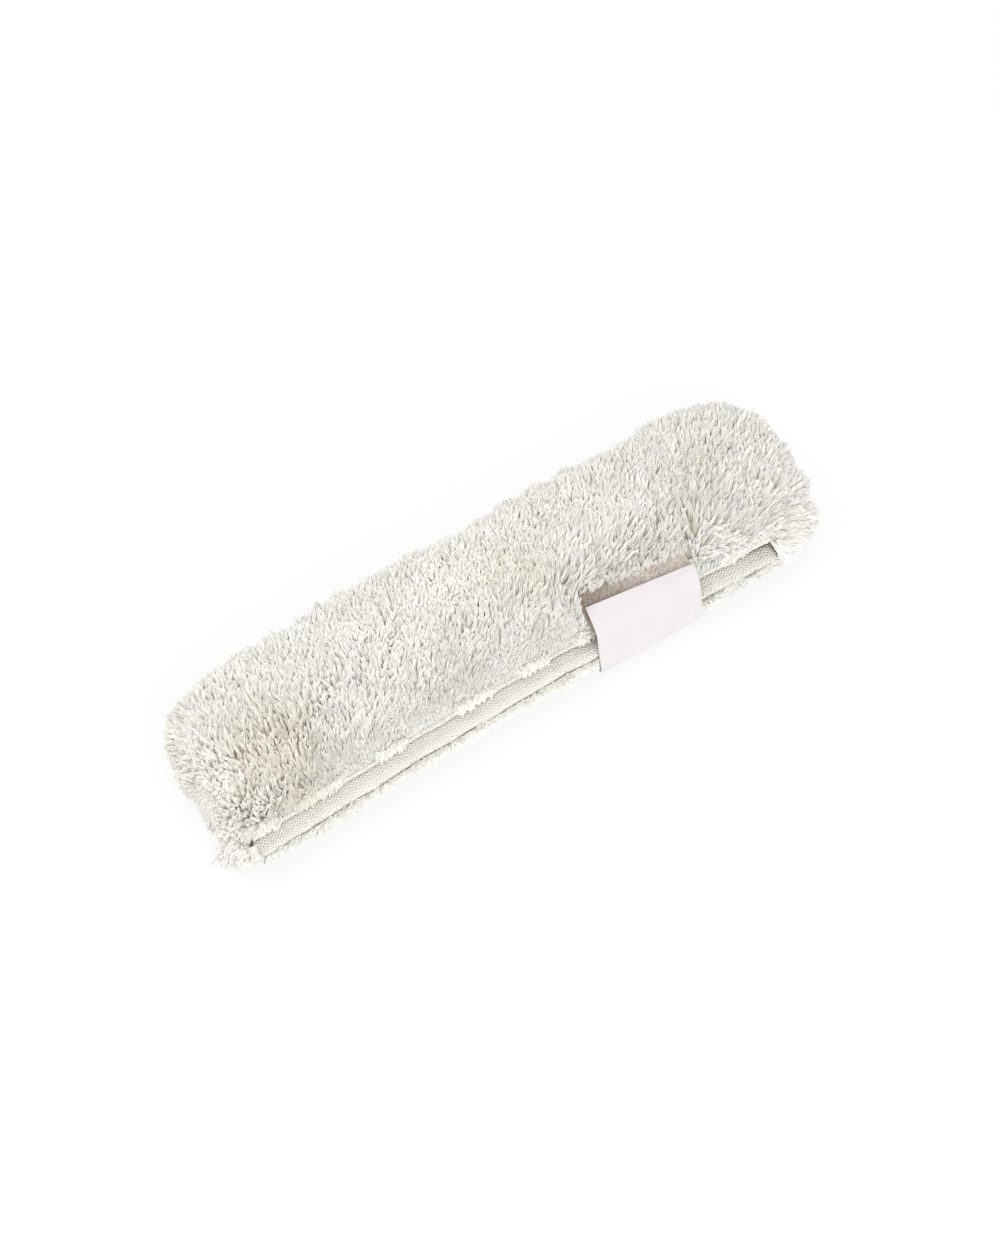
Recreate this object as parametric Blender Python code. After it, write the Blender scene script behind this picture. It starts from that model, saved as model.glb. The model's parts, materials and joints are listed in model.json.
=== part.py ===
"""Plush window-washer sleeve: a pile fabric tube with a mouth along its front and a hook-and-loop strap.

Metres, +Z up. X runs along the sleeve, -Y is the mouth side, Z = 0 is the face it rests on.
"""
import math

import bmesh
import bpy
from mathutils import Vector

MM = 0.001

# Driving sizes of the pile cover
LENGTH = 364 * MM
WIDTH = 98 * MM
HEIGHT = 51 * MM
WIDEST_AT = 17 * MM  # height at which the cover is widest
REST_CUT = 0.5 * MM  # depth by which the round underside is flattened
BOW = 6 * MM  # how far the middle lies behind the two ends
TOP_ROUNDNESS = 2.6
BASE_ROUNDNESS = 3.6
END_ROUNDNESS = 7.0
FRONT_LEFT_ROUNDNESS = 14.0  # the mouth reaches into this corner
FRONT_RIGHT_ROUNDNESS = 7.0
END_DROP = 1.5  # above 1 the cover gets lower towards its ends than narrower
LIP_SETBACK = 11 * MM  # upper lip's edge behind the front of the lower panel

# Pocket for the bar of the washer's handle
POCKET_FLOOR = 14.5 * MM
POCKET_HEIGHT = 11.5 * MM
MOUTH_GAP = 8.4 * MM
BACK_PILE = 15.5 * MM  # pile behind the pocket, on the back fold
LEFT_END_PILE = 7 * MM  # pile past the left end of the pocket
RIGHT_END_PILE = 29 * MM
MOUTH_SHUT_LEFT = 2 * MM  # stretch of the pocket's front that is sewn shut at its left end
MOUTH_SHUT_RIGHT = 4 * MM
SHUT_STEP = 1 * MM  # stretch over which the sewn front turns into the open mouth
POCKET_CORNER = 2 * MM
CORNER_TURNS = [math.radians(30 * i) for i in range(4)]
CEILING_ARCH = 0.8  # below 1 the pocket's ceiling is flatter in its middle
CEILING_STEPS = 10
MOUTH_DEPTH = 9 * MM  # stretch behind the upper lip that stays as low as the mouth

# Cloth, tape and thread
CLOTH = 1.2 * MM
TAPE = 0.8 * MM
THREAD = 0.5 * MM
GAP = 0.3 * MM
TAPE_INNER_LEG = 11 * MM
TAPE_OUTER_LEG = 7.5 * MM
LOWER_LIP_INSET = 3.5 * MM  # tape fold behind the cover's front
TAPE_END_INSET = 1.5 * MM  # tape end short of the mouth's end
STITCH_INSET = 4 * MM  # stitch row behind the tape's fold
STITCH_PITCH = 8 * MM
STITCH_RISEN = 0.3, 0.7  # shares of a stitch between which it lies high
SEAM_THREAD = 1.6 * MM
SEAM_STEPS = 8
SEAM_SIDES = 6
GROOVE_SIDES = 8
SEAM_START = 0.985  # share of half the length at the front corner
SEAM_END = 0.86  # share of half the length at the dimple on top
SEAM_START_TURN = math.radians(187)
SEAM_END_TURN = math.radians(124)
TACK_WIDTH = 3 * MM
TACK_THICKNESS = 1.4 * MM
TACK_RIDGES = 6
VALLEY = 0.75  # size of a tack between two of its ridges
DIP = 0.55  # size of a thread where it dips between two stitches

# Hook-and-loop strap
STRAP_FROM_MOUTH_END = 83 * MM  # middle of the strap before the mouth's right end
STRAP_WIDTH = 63 * MM
STRAP = 1.2 * MM
STRAP_SIDE_GAP = 0.8 * MM
FOLD_STANDOFF = 3.1 * MM  # fold in front of the cover's lower edge
FOLD_HEIGHT = 4.5 * MM
ROOT_REACH = 29 * MM  # from the fold back to the sewn end under the bottom panel
BEND_STANDOFF = 2.8 * MM  # bend in front of the upper lip
BEND_RISE = 4.9 * MM  # bend above the upper lip's cloth
TIP_SLOPE = math.radians(15)
TIP_LEFT = 15 * MM
TIP_RIGHT = 7 * MM
STRAP_SKEW = 0.15  # drift to the right for each length up from the fold
FOLD_SETBACK = 1.5 * MM
BEND_SETBACK = 0.9 * MM
HOOKS = 1.0 * MM
HOOK_DEPTH = 5 * MM
HOOK_EDGE = 0.8 * MM
HOOK_SIDE = 3 * MM
LOOP = 1.0 * MM
LOOP_START = 4 * MM
LOOP_END = 24 * MM
LOOP_STITCH_INSET = 1.2 * MM

# Fineness of the meshes
SECTION_POINTS = 32
STATIONS = 16
COVER_ROWS = STATIONS + 6
LAST_ROW = math.radians(88)  # turn of the cover's last ring; 90 degrees would be its very end
OUTSIDE = 30 * MM  # how far a cutter reaches past what it cuts
QUARTERS = [math.radians(45 + 90 * i) for i in range(4)]
HALF_TURN = [math.radians(-90 + 30 * i) for i in range(7)]

HALF_LENGTH = LENGTH / 2
POCKET_LEFT = -HALF_LENGTH + LEFT_END_PILE
POCKET_RIGHT = HALF_LENGTH - RIGHT_END_PILE
MOUTH_LEFT = POCKET_LEFT + MOUTH_SHUT_LEFT
MOUTH_RIGHT = POCKET_RIGHT - MOUTH_SHUT_RIGHT
STRAP_CENTRE = MOUTH_RIGHT - STRAP_FROM_MOUTH_END
FRONT = -WIDTH / 2
POCKET_BACK = WIDTH / 2 - BACK_PILE
LOWER_LIP = FRONT + LOWER_LIP_INSET
UPPER_LIP = FRONT + LIP_SETBACK
CEILING = POCKET_FLOOR + MOUTH_GAP
TAPE_STACK = TAPE + GAP
FOLD_RADIUS = (CLOTH + 2 * TAPE_STACK) / 2


def clear_scene():
    for old in list(bpy.data.objects):
        bpy.data.objects.remove(old, do_unlink=True)


def material(name, colour, roughness):
    made = bpy.data.materials.new(name)
    made.use_nodes = True
    shader = made.node_tree.nodes["Principled BSDF"]
    shader.inputs["Base Color"].default_value = (*colour, 1)
    shader.inputs["Roughness"].default_value = roughness
    shader.inputs["Metallic"].default_value = 0
    return made


def bow(x):
    """Shift of the section at x: the middle lies back, the ends forward, with a mean of nought."""
    return BOW * (2 / 3 - (x / HALF_LENGTH) ** 2)


def smooth_step(value):
    value = min(max(value, 0), 1)
    return value * value * (3 - 2 * value)


def power(value, exponent):
    return math.copysign(abs(value) ** exponent, value)


def add_object(name, mesh, made_of, smooth_angle=40):
    mesh.materials.append(made_of)
    mesh.shade_smooth()
    mesh.set_sharp_from_angle(angle=math.radians(smooth_angle))
    made = bpy.data.objects.new(name, mesh)
    bpy.context.collection.objects.link(made)
    return made


def loft(name, rings, made_of):
    """Skins rings of points into one closed body with end faces, in flat triangles that cut cleanly."""
    bm = bmesh.new()
    rows = [[bm.verts.new(point) for point in ring] for ring in rings]
    for one, other in zip(rows, rows[1:]):
        for j in range(len(one)):
            k = (j + 1) % len(one)
            bm.faces.new((one[j], one[k], other[k], other[j]))
    bm.faces.new(list(reversed(rows[0])))
    bm.faces.new(rows[-1])
    bmesh.ops.recalc_face_normals(bm, faces=bm.faces)
    bmesh.ops.triangulate(bm, faces=bm.faces)
    mesh = bpy.data.meshes.new(name)
    bm.to_mesh(mesh)
    bm.free()
    return add_object(name, mesh, made_of)


def cut(body, cutter):
    cutter.hide_render = True
    cutter.display_type = "WIRE"
    modifier = body.modifiers.new(cutter.name, "BOOLEAN")
    modifier.operation = "DIFFERENCE"
    modifier.solver = "EXACT"
    modifier.object = cutter


def stations(start, end, extra=()):
    """Evenly spaced places along X from start to end, with the given extra ones."""
    even = [start + (end - start) * i / STATIONS for i in range(STATIONS + 1)]
    return sorted([*even, *extra])


def bowed(section, x):
    return [Vector((x, y + bow(x), z)) for y, z in section]


def cover_point(share, around):
    """Point on the cover's outside: share runs from -1 to 1 end to end, around goes round the section."""
    x = HALF_LENGTH * share
    c, s = math.cos(around), math.sin(around)
    front_corner = FRONT_LEFT_ROUNDNESS if share < 0 else FRONT_RIGHT_ROUNDNESS
    corner = front_corner if c < 0 else END_ROUNDNESS
    plan = (1 - abs(share) ** corner) ** (1 / corner)
    rise = (1 - abs(share) ** END_ROUNDNESS) ** (END_DROP / END_ROUNDNESS)
    roundness = 2 / (TOP_ROUNDNESS if s >= 0 else BASE_ROUNDNESS)
    reach = HEIGHT - WIDEST_AT if s >= 0 else WIDEST_AT + REST_CUT
    y = WIDTH / 2 * power(c, roundness)
    z = WIDEST_AT + reach * power(s, roundness)
    if y < 0:
        above_lip = smooth_step((z - POCKET_FLOOR) / MOUTH_GAP)
        y += LIP_SETBACK * above_lip * min(1, 2 * y / FRONT)
    y *= plan
    z = WIDEST_AT + (z - WIDEST_AT) * rise
    return Vector((x, y + bow(x), max(z, 0)))


def pocket_section(grow, lower_front, upper_front):
    """Outline of the pocket's hollow, grown outwards, between the given points of its two lips."""
    floor, mouth, back = POCKET_FLOOR - grow, CEILING + grow, POCKET_BACK + grow
    corner = POCKET_CORNER + grow
    points = list(lower_front)
    for turn in CORNER_TURNS:
        points.append((back - corner * (1 - math.sin(turn)), floor + corner * (1 - math.cos(turn))))
    points.append((back, mouth - corner / 2))
    start = UPPER_LIP + MOUTH_DEPTH
    for step in range(1, CEILING_STEPS + 1):
        share = 1 - step / CEILING_STEPS
        arch = math.sin(math.pi * share) ** CEILING_ARCH if step < CEILING_STEPS else 0
        lift = (POCKET_HEIGHT - MOUTH_GAP) * arch
        points.append((start + (back - corner / 2 - start) * share, mouth + lift))
    points += upper_front
    return points


def pocket_form(name, grow, fronts, made_of, fronts_past_mouth=None):
    """Pocket's hollow as a body. fronts are its lips' points, which may differ past the mouth's ends."""
    ends = (MOUTH_LEFT - SHUT_STEP, MOUTH_LEFT, MOUTH_RIGHT, MOUTH_RIGHT + SHUT_STEP)
    rings = []
    for x in stations(POCKET_LEFT - grow, POCKET_RIGHT + grow, ends):
        in_mouth = MOUTH_LEFT - SHUT_STEP / 2 < x < MOUTH_RIGHT + SHUT_STEP / 2
        lower, upper = fronts if in_mouth or not fronts_past_mouth else fronts_past_mouth
        rings.append(bowed(pocket_section(grow, lower, upper), x))
    return loft(name, rings, made_of)


def fold_profile(fold, middle, inner_side):
    """Folded tape round a cloth edge: fold is its front, inner_side is 1 with the long inner leg on top."""
    outside, inside = FOLD_RADIUS, FOLD_RADIUS - TAPE
    centre = fold + FOLD_RADIUS
    legs = {inner_side: fold + TAPE_INNER_LEG, -inner_side: fold + TAPE_OUTER_LEG}
    outer = [(centre - outside * math.cos(a), middle + outside * math.sin(a)) for a in HALF_TURN]
    inner = [(centre - inside * math.cos(a), middle + inside * math.sin(a)) for a in reversed(HALF_TURN)]
    high = [(legs[1], middle + outside), (legs[1], middle + inside)]
    low = [(legs[-1], middle - inside), (legs[-1], middle - outside)]
    return outer + high + inner + low


def running_stitch(name, path, lift, made_of):
    """One row of thread: it lies flat on the cloth and dips towards it between stitches."""
    rings = []
    radius = THREAD / 2
    for i, point in enumerate(path):
        forward = (path[min(i + 1, len(path) - 1)] - path[max(i - 1, 0)]).normalized()
        side = forward.cross(lift).normalized()
        up = side.cross(forward).normalized()
        size = radius * (DIP if i % 3 == 0 else 1)
        rings.append([point + (side * math.cos(a) + up * math.sin(a)) * size for a in QUARTERS])
    return loft(name, rings, made_of)


def stitch_path(start, end, place):
    """Points three to a stitch between two places along a row, each turned into a point by place."""
    stitches = max(2, round(abs(end - start) / STITCH_PITCH))
    shares = [0.0]
    for i in range(stitches):
        shares += [(i + share) / stitches for share in (*STITCH_RISEN, 1)]
    return [place(start + (end - start) * share) for share in shares]


def tube(name, path, radius, sides, made_of):
    rings = []
    for i, point in enumerate(path):
        forward = (path[min(i + 1, len(path) - 1)] - path[max(i - 1, 0)]).normalized()
        side = forward.cross(Vector((0, 0, 1))).normalized()
        up = side.cross(forward).normalized()
        turns = [2 * math.pi * j / sides for j in range(sides)]
        rings.append([point + (side * math.cos(a) + up * math.sin(a)) * radius for a in turns])
    return loft(name, rings, made_of)


class Line:
    """Straight run of the strap in the YZ plane, with its inner side towards the sleeve."""

    def __init__(self, start, end):
        self.start = Vector(start)
        self.along = (Vector(end) - self.start).normalized()
        self.length = (Vector(end) - self.start).length
        self.inward = Vector((self.along.y, -self.along.x))

    def at(self, along, inward=0.0):
        return self.start + self.along * along + self.inward * inward

    def meets(self, inward, other, other_inward):
        """Crossing of this line and another, each moved inwards."""
        p, q = self.at(0, inward), other.at(0, other_inward)
        cross = self.along.x * other.along.y - self.along.y * other.along.x
        away = q - p
        return p + self.along * ((away.x * other.along.y - away.y * other.along.x) / cross)


STRAP_BOW = BOW * (2 / 3 - (STRAP_CENTRE / HALF_LENGTH) ** 2)
CLOTH_UNDERSIDE = POCKET_FLOOR - CLOTH
FOLD = Vector((FRONT - FOLD_STANDOFF + STRAP_BOW, FOLD_HEIGHT))
BEND = Vector((UPPER_LIP - BEND_STANDOFF + STRAP_BOW, CEILING + CLOTH + BEND_RISE))
ROOT = Vector((FOLD.x + ROOT_REACH, CLOTH_UNDERSIDE - GAP - STRAP / 2))
ROOT_RUN = Line(ROOT, FOLD)
FRONT_RUN = Line(FOLD, BEND)
TIP_RUN = Line(BEND, BEND + Vector((math.cos(TIP_SLOPE), math.sin(TIP_SLOPE))) * TIP_LEFT)
HOOK_TOP = STRAP / 2 + GAP
LOOP_TOP = HOOK_TOP + HOOKS + GAP
LOOP_SEAT = LOOP_TOP + LOOP + GAP


def rounded_end(line, at_end):
    """Half circle of the strap's thickness about one end of a run."""
    centre = line.at(line.length if at_end else 0)
    ahead = line.along if at_end else -line.along
    return [
        centre + ahead * math.cos(a) * STRAP / 2 + line.inward * math.sin(a) * STRAP / 2
        for a in HALF_TURN
    ]


def across_strap(section, width, drift=None, room_right=0.0):
    """Rings of a section at the two sides of the strap, which drifts to the right with its height."""
    rings = []
    for x in (STRAP_CENTRE - width / 2, STRAP_CENTRE + width / 2 + room_right):
        shifts = [drift(point) if drift else 0 for point in section]
        rings.append([Vector((x + shift, p.x, p.y)) for p, shift in zip(section, shifts)])
    return rings


def front_drift(point):
    return STRAP_SKEW * (point - FOLD).dot(FRONT_RUN.along)


def tip_drift(along):
    return STRAP_SKEW * (FRONT_RUN.length + along)


def patch_drift(_point):
    """The loop patch lies square, under the middle of the drifted tip."""
    return tip_drift(LOOP_START)


def set_origin(body, pivot):
    """Puts a moving piece's origin on its joint's axis."""
    place = Vector((STRAP_CENTRE, pivot.x, pivot.y))
    for vertex in body.data.vertices:
        vertex.co -= place
    body.location = place


def make_cover(cloth):
    shares = [math.sin(LAST_ROW * (2 * i / COVER_ROWS - 1)) for i in range(COVER_ROWS + 1)]
    around = [2 * math.pi * (j + 0.5) / SECTION_POINTS for j in range(SECTION_POINTS)]
    rings = [[cover_point(share, turn) for turn in around] for share in shares]
    cover = loft("pile_cover", rings, cloth)
    cut(cover, pocket_form("pocket_cutter", CLOTH + GAP, tape_recesses(), cloth))
    cut(cover, strap_cutter("strap_channel_cutter", cloth))
    return cover


def tape_recesses():
    """Lip points of the cover's hollow: it leaves room for the folded tapes' outer legs."""
    outside = FRONT - OUTSIDE
    folds = [(LOWER_LIP, -1, POCKET_FLOOR - CLOTH / 2), (UPPER_LIP, 1, CEILING + CLOTH / 2)]
    lips = []
    for fold, side, middle in folds:
        recess = middle + side * (FOLD_RADIUS + GAP)
        seat = middle + side * (CLOTH / 2 + GAP)
        back = fold + TAPE_OUTER_LEG + GAP
        lips.append([(outside, recess), (back, recess), (back, seat)])
    return lips[0], lips[1][::-1]


def strap_cutter(name, made_of):
    """Everything outside the strap: the pile is pressed flat under it."""
    inner = STRAP / 2 + GAP
    behind = ROOT_RUN.at(-STRAP_SIDE_GAP, inner)
    seat_end = TIP_RUN.at(LOOP_END + STRAP_SIDE_GAP, LOOP_SEAT)
    section = [
        behind,
        ROOT_RUN.meets(inner, FRONT_RUN, inner),
        FRONT_RUN.meets(inner, TIP_RUN, LOOP_SEAT),
        seat_end,
        Vector((seat_end.x, HEIGHT + OUTSIDE)),
        Vector((FRONT - OUTSIDE, HEIGHT + OUTSIDE)),
        Vector((FRONT - OUTSIDE, -OUTSIDE)),
        Vector((behind.x, -OUTSIDE)),
    ]
    width = STRAP_WIDTH + 2 * STRAP_SIDE_GAP
    return loft(name, across_strap(section, width, room_right=tip_drift(TIP_RIGHT)), made_of)


def make_backing(cloth):
    low = (LOWER_LIP + FOLD_RADIUS, POCKET_FLOOR - CLOTH)
    high = (UPPER_LIP + FOLD_RADIUS + CLOTH / 2, CEILING + CLOTH)
    shell = pocket_form("backing_cloth", CLOTH, ([low], [high]), cloth)
    outside = FRONT - OUTSIDE
    inside = UPPER_LIP + MOUTH_DEPTH - SHUT_STEP
    open_front = [(outside, POCKET_FLOOR)], [(outside, CEILING)]
    closed_front = [(inside, POCKET_FLOOR)], [(inside, CEILING)]
    cut(shell, pocket_form("pocket_hollow_cutter", 0, open_front, cloth, closed_front))


def make_tapes(cloth, thread):
    start, end = MOUTH_LEFT + TAPE_END_INSET, MOUTH_RIGHT - TAPE_END_INSET
    lips = (
        ("lower", LOWER_LIP, POCKET_FLOOR - CLOTH / 2, 1),
        ("upper", UPPER_LIP, CEILING + CLOTH / 2, -1),
    )
    for word, fold, middle, side in lips:
        profile = fold_profile(fold, middle, side)
        rings = [bowed(profile, x) for x in stations(start, end)]
        loft(word + "_binding_tape", rings, cloth)
        row_y = fold + STITCH_INSET
        row_z = middle + side * (FOLD_RADIUS + GAP + THREAD / 2)
        inset = STITCH_PITCH / 2
        path = stitch_path(start + inset, end - inset, lambda x: Vector((x, row_y + bow(x), row_z)))
        running_stitch(word + "_tape_stitching", path, Vector((0, 0, side)), thread)


def make_bar_tacks(thread):
    """Dense stitches across the mouth at its two ends, in front of the sewn layers."""
    low = Vector((LOWER_LIP - GAP, POCKET_FLOOR - CLOTH))
    high = Vector((UPPER_LIP - GAP, CEILING + CLOTH))
    run = Line(low, high)
    for word, side, end in (("left", -1, MOUTH_LEFT), ("right", 1, MOUTH_RIGHT)):
        x = end + side * (TACK_WIDTH / 2 - TAPE_END_INSET / 2)
        rings = []
        for i in range(2 * TACK_RIDGES + 1):
            bulge = 1 if i % 2 else VALLEY
            middle = run.at(run.length * i / (2 * TACK_RIDGES), -TACK_THICKNESS / 2)
            half_x, half_t = TACK_WIDTH / 2 * bulge, TACK_THICKNESS / 2 * bulge
            ring = []
            for sx, st in ((-1, -1), (1, -1), (1, 1), (-1, 1)):
                point = middle + run.inward * half_t * st
                ring.append(Vector((x + sx * half_x, point.x + bow(x), point.y)))
            rings.append(ring)
        loft(word + "_bar_tack", rings, thread)


def make_end_seams(cover, thread):
    """Closing seams of the two ends: they run from the front corner up to a dimple on top."""
    for word, side in (("left", -1), ("right", 1)):
        path = []
        for i in range(SEAM_STEPS + 1):
            share = i / SEAM_STEPS
            place = SEAM_START + (SEAM_END - SEAM_START) * share ** 2
            turn = SEAM_START_TURN + (SEAM_END_TURN - SEAM_START_TURN) * share
            path.append(cover_point(side * place, turn))
        tube(word + "_end_seam", path, SEAM_THREAD / 2, SEAM_SIDES, thread)
        longer = [path[0] * 2 - path[1], *path, path[-1] * 2 - path[-2]]
        cut(cover, tube(word + "_seam_groove", longer, SEAM_THREAD / 2 + GAP, GROOVE_SIDES, thread))


def make_loop_patch(loops, thread):
    section = [
        TIP_RUN.at(LOOP_START, LOOP_TOP),
        TIP_RUN.at(LOOP_END, LOOP_TOP),
        TIP_RUN.at(LOOP_END, LOOP_TOP + LOOP),
        TIP_RUN.at(LOOP_START, LOOP_TOP + LOOP),
    ]
    loft("loop_patch", across_strap(section, STRAP_WIDTH, patch_drift), loops)
    back = TIP_RUN.at(LOOP_END - LOOP_STITCH_INSET, LOOP_TOP - GAP - THREAD / 2)
    end = STRAP_WIDTH / 2 - LOOP_STITCH_INSET
    middle = STRAP_CENTRE + patch_drift(back)
    path = stitch_path(-end, end, lambda x: Vector((middle + x, back.x, back.y)))
    running_stitch("loop_patch_stitching", path, Vector((0, 0, 1)), thread)


def make_strap(webbing, hooks, thread):
    half = STRAP / 2
    root = [ROOT_RUN.at(0, half), ROOT_RUN.at(0, -half), *rounded_end(ROOT_RUN, True)]
    loft("strap_root", across_strap(root, STRAP_WIDTH), webbing)
    row = ROOT_RUN.at(STITCH_INSET, -half - GAP - THREAD / 2)
    end = STRAP_WIDTH / 2 - LOOP_STITCH_INSET
    path = stitch_path(-end, end, lambda x: Vector((STRAP_CENTRE + x, row.x, row.y)))
    running_stitch("strap_root_stitching", path, Vector((0, 0, -1)), thread)

    start = [FRONT_RUN.at(FOLD_SETBACK, half), FRONT_RUN.at(FOLD_SETBACK, -half)]
    run = start + rounded_end(FRONT_RUN, True)
    front = loft("strap_front", across_strap(run, STRAP_WIDTH, front_drift), webbing)
    set_origin(front, FOLD)

    tip = tip_plate("strap_tip", BEND_SETBACK, TIP_LEFT, TIP_RIGHT, -half, half, STRAP_WIDTH, webbing)
    set_origin(tip, BEND)
    start_at = TIP_LEFT - HOOK_EDGE - HOOK_DEPTH, TIP_RIGHT - HOOK_EDGE - HOOK_DEPTH
    ends_at = TIP_LEFT - HOOK_EDGE, TIP_RIGHT - HOOK_EDGE
    hook = tip_plate("hook_field", start_at, *ends_at, HOOK_TOP, HOOK_TOP + HOOKS,
                     STRAP_WIDTH - 2 * HOOK_SIDE, hooks)
    set_origin(hook, BEND)


def tip_plate(name, start, left_end, right_end, top, bottom, width, made_of):
    """Plate on the tip's plane whose far edge is skewed: left_end at one side, right_end at the other."""
    starts = start if isinstance(start, tuple) else (start, start)
    rings = []
    for side, begin, end in ((-1, starts[0], left_end), (1, starts[1], right_end)):
        x = STRAP_CENTRE + side * width / 2
        corners = ((begin, top), (end, top), (end, bottom), (begin, bottom))
        points = [(x + tip_drift(along), *TIP_RUN.at(along, inward)) for along, inward in corners]
        rings.append([Vector(point) for point in points])
    return loft(name, rings, made_of)


def build():
    clear_scene()
    pile = material("white_pile", (0.83, 0.81, 0.77), 0.95)
    backing = material("backing_knit", (0.80, 0.78, 0.73), 0.9)
    binding = material("binding_weave", (0.80, 0.78, 0.73), 0.85)
    thread = material("sewing_thread", (0.86, 0.85, 0.82), 0.6)
    webbing = material("strap_weave", (0.88, 0.84, 0.84), 0.75)
    loops = material("loop_pile", (0.62, 0.56, 0.52), 0.95)
    hooks = material("hook_tape", (0.85, 0.82, 0.82), 0.5)
    cover = make_cover(pile)
    make_backing(backing)
    make_tapes(binding, thread)
    make_bar_tacks(thread)
    make_end_seams(cover, thread)
    make_loop_patch(loops, thread)
    make_strap(webbing, hooks, thread)


build()
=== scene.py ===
"""Looks of a plush window-washer sleeve: cut pile, woven tapes, stitching and a hook-and-loop strap.

Lengths are in millimetres until a mesh is made. X runs along the sleeve, -Y is the mouth side and +Z up.
"""

import json
import math

import bpy
import numpy as np
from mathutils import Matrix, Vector


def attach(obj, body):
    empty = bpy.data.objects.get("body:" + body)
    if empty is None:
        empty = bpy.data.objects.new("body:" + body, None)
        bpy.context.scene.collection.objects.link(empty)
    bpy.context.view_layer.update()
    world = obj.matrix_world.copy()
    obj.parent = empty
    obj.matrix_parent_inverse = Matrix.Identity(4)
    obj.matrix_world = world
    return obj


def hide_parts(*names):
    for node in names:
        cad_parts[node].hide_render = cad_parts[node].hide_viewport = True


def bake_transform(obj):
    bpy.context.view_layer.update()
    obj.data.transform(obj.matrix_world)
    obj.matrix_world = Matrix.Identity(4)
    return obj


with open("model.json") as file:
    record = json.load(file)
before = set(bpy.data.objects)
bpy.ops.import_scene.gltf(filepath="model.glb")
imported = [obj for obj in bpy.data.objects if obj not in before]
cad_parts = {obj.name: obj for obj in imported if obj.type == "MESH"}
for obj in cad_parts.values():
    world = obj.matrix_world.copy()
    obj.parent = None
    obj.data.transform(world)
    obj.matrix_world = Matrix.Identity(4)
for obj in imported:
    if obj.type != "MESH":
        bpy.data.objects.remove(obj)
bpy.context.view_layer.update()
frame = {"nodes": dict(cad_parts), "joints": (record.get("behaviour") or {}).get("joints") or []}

MM = 0.001
SEED = 11

# Pile cover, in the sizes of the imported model
LENGTH = 364
WIDTH = 98
HEIGHT = 51
WIDEST_AT = 17
REST_CUT = 0.5
BOW = 6
TOP_ROUNDNESS = 2.6
BASE_ROUNDNESS = 3.6
LIP_SETBACK = 11
POCKET_FLOOR = 14.5
MOUTH_GAP = 8.4
POCKET_LEFT = -175
POCKET_RIGHT = 153
MOUTH_LEFT = -173
MOUTH_RIGHT = 149
POCKET_BACK = 33.5
POCKET_HEIGHT = 11.5
HALF_LENGTH = LENGTH / 2
FRONT = -WIDTH / 2
CEILING = POCKET_FLOOR + MOUTH_GAP

# Roundness of the outline's corners, seen from above
BACK_CORNER = 7
FRONT_LEFT_CORNER = 14
FRONT_RIGHT_CORNER = 7

# Depth of the pile
PILE_SIDE = 4
PILE_LEFT_END = 4.5
PILE_RIGHT_END = 6
PILE_TOP = 4
PILE_BASE = 5
PILE_AT_LIP = 0.3  # share of the pile's depth left beside the mouth
PROUD = 1.4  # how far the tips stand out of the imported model
END_PROUD = -1.5  # and how much further at the two ends
RIGHT_CORNER_PROUD = -3.5
LEFT_CORNER_PROUD = 2.2
PUFF_PROUD = 1.2

# Locks of the pile
TUFT_SPACING = 1.85
TUFT_GIRTH = 0.84
TUFT_PIECES = 24
SHORTEST_LOCK = 3
LUMPS = ((1.6, 42, 3), (1.5, 17, 4))  # unevenness of the pile's height: amount, wavelength and seed
COMBED = np.array([0.33, 0.5, 0.8])  # way the pile is brushed, up and to the back
LEAN_BACK = ((0.14, 30, 5), (0.16, 11, 15))  # the same for the lean of the locks
LEAN_SIDE = ((0.16, 26, 6), (0.16, 11, 16))
STRAY = 0.11  # how much each lock strays from its neighbours
FRINGE_SETS = 2  # extra sets of locks on the edge of the lower panel
FRINGE_TOP = 12.2
LIP_TOP = 25.5  # lower edge of the upper panel's pile
PUFF = (125, -36, 20)  # puff of pile right of the strap: x, y and reach

# Strands of a lock
STRANDS = 6
STRAND_SIDES = 3
STRAND_SHARES = np.array([0.0, 0.45, 0.84, 1.0])
STRAND_PROFILE = np.array([0.9, 1.05, 0.95, 0.45])
MIDDLE_GIRTH = 0.6
OUTER_GIRTH = 0.47
SOFTNESS = 1.0  # how far the shading of a strand turns to its lock's direction
SKYWARD = np.array([0, 0, 0.6])  # light that reaches the sides from above through the pile

# Fine fibres above the mouth, and short locks below it
HEM = 6  # width of the strip above the mouth where the pile is pressed flat
HEM_SPACING = 1.05
HEM_GIRTH = 0.62
LEDGE_LOCKS = 7  # for each mm of the lower panel's edge
LEDGE_HEIGHT = 11.7
LEDGE_DEPTH = 2.6
LEDGE_GIRTH = 0.6

# Zones of painted shade (positive amount) and painted light (negative amount) on the pile: x, y, reach,
# amount
PAINTED_SHADING_ZONES = (
    (-141, -13, 24, 1.25),
    (17, 6, 22, 0.6),
    (121, -3, 22, 0.6),
    (128, -34, 22, -0.9),
    (-172, -45, 14, -0.9),
)

# Mouth
LOWER_LIP = -45.5
UPPER_LIP = -38
CLOTH = 1.2
TAPE = 0.8
FOLD_MIDDLE = 1.3
TAPE_INNER_LEG = 11
TAPE_OUTER_LEG = 7.5
LOWER_TAPE_HEIGHT = 13.9
UPPER_TAPE_HEIGHT = 23.5
TAPE_END_INSET = 1.5
STITCH_INSET = 4
THREAD = 0.5
ARC_POINTS = 6  # points along one stitch
STRAP_STITCHES = (-29.5, 27, 2.8, 2.4)  # across the strap: first, last, pitch and length
TACK_PASSES = 22
LEFT_TACK = 6.5  # width
RIGHT_TACK = 3.4
TACK_THREAD = 0.32  # radius
SEAM_THREAD = 0.3
SEAM_DEPTH = 4.6
LINING_FOLD = 6  # depth of the rounded fold at the pocket's back
LINING_TAPER = 8  # length over which the lining closes at each end

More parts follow.
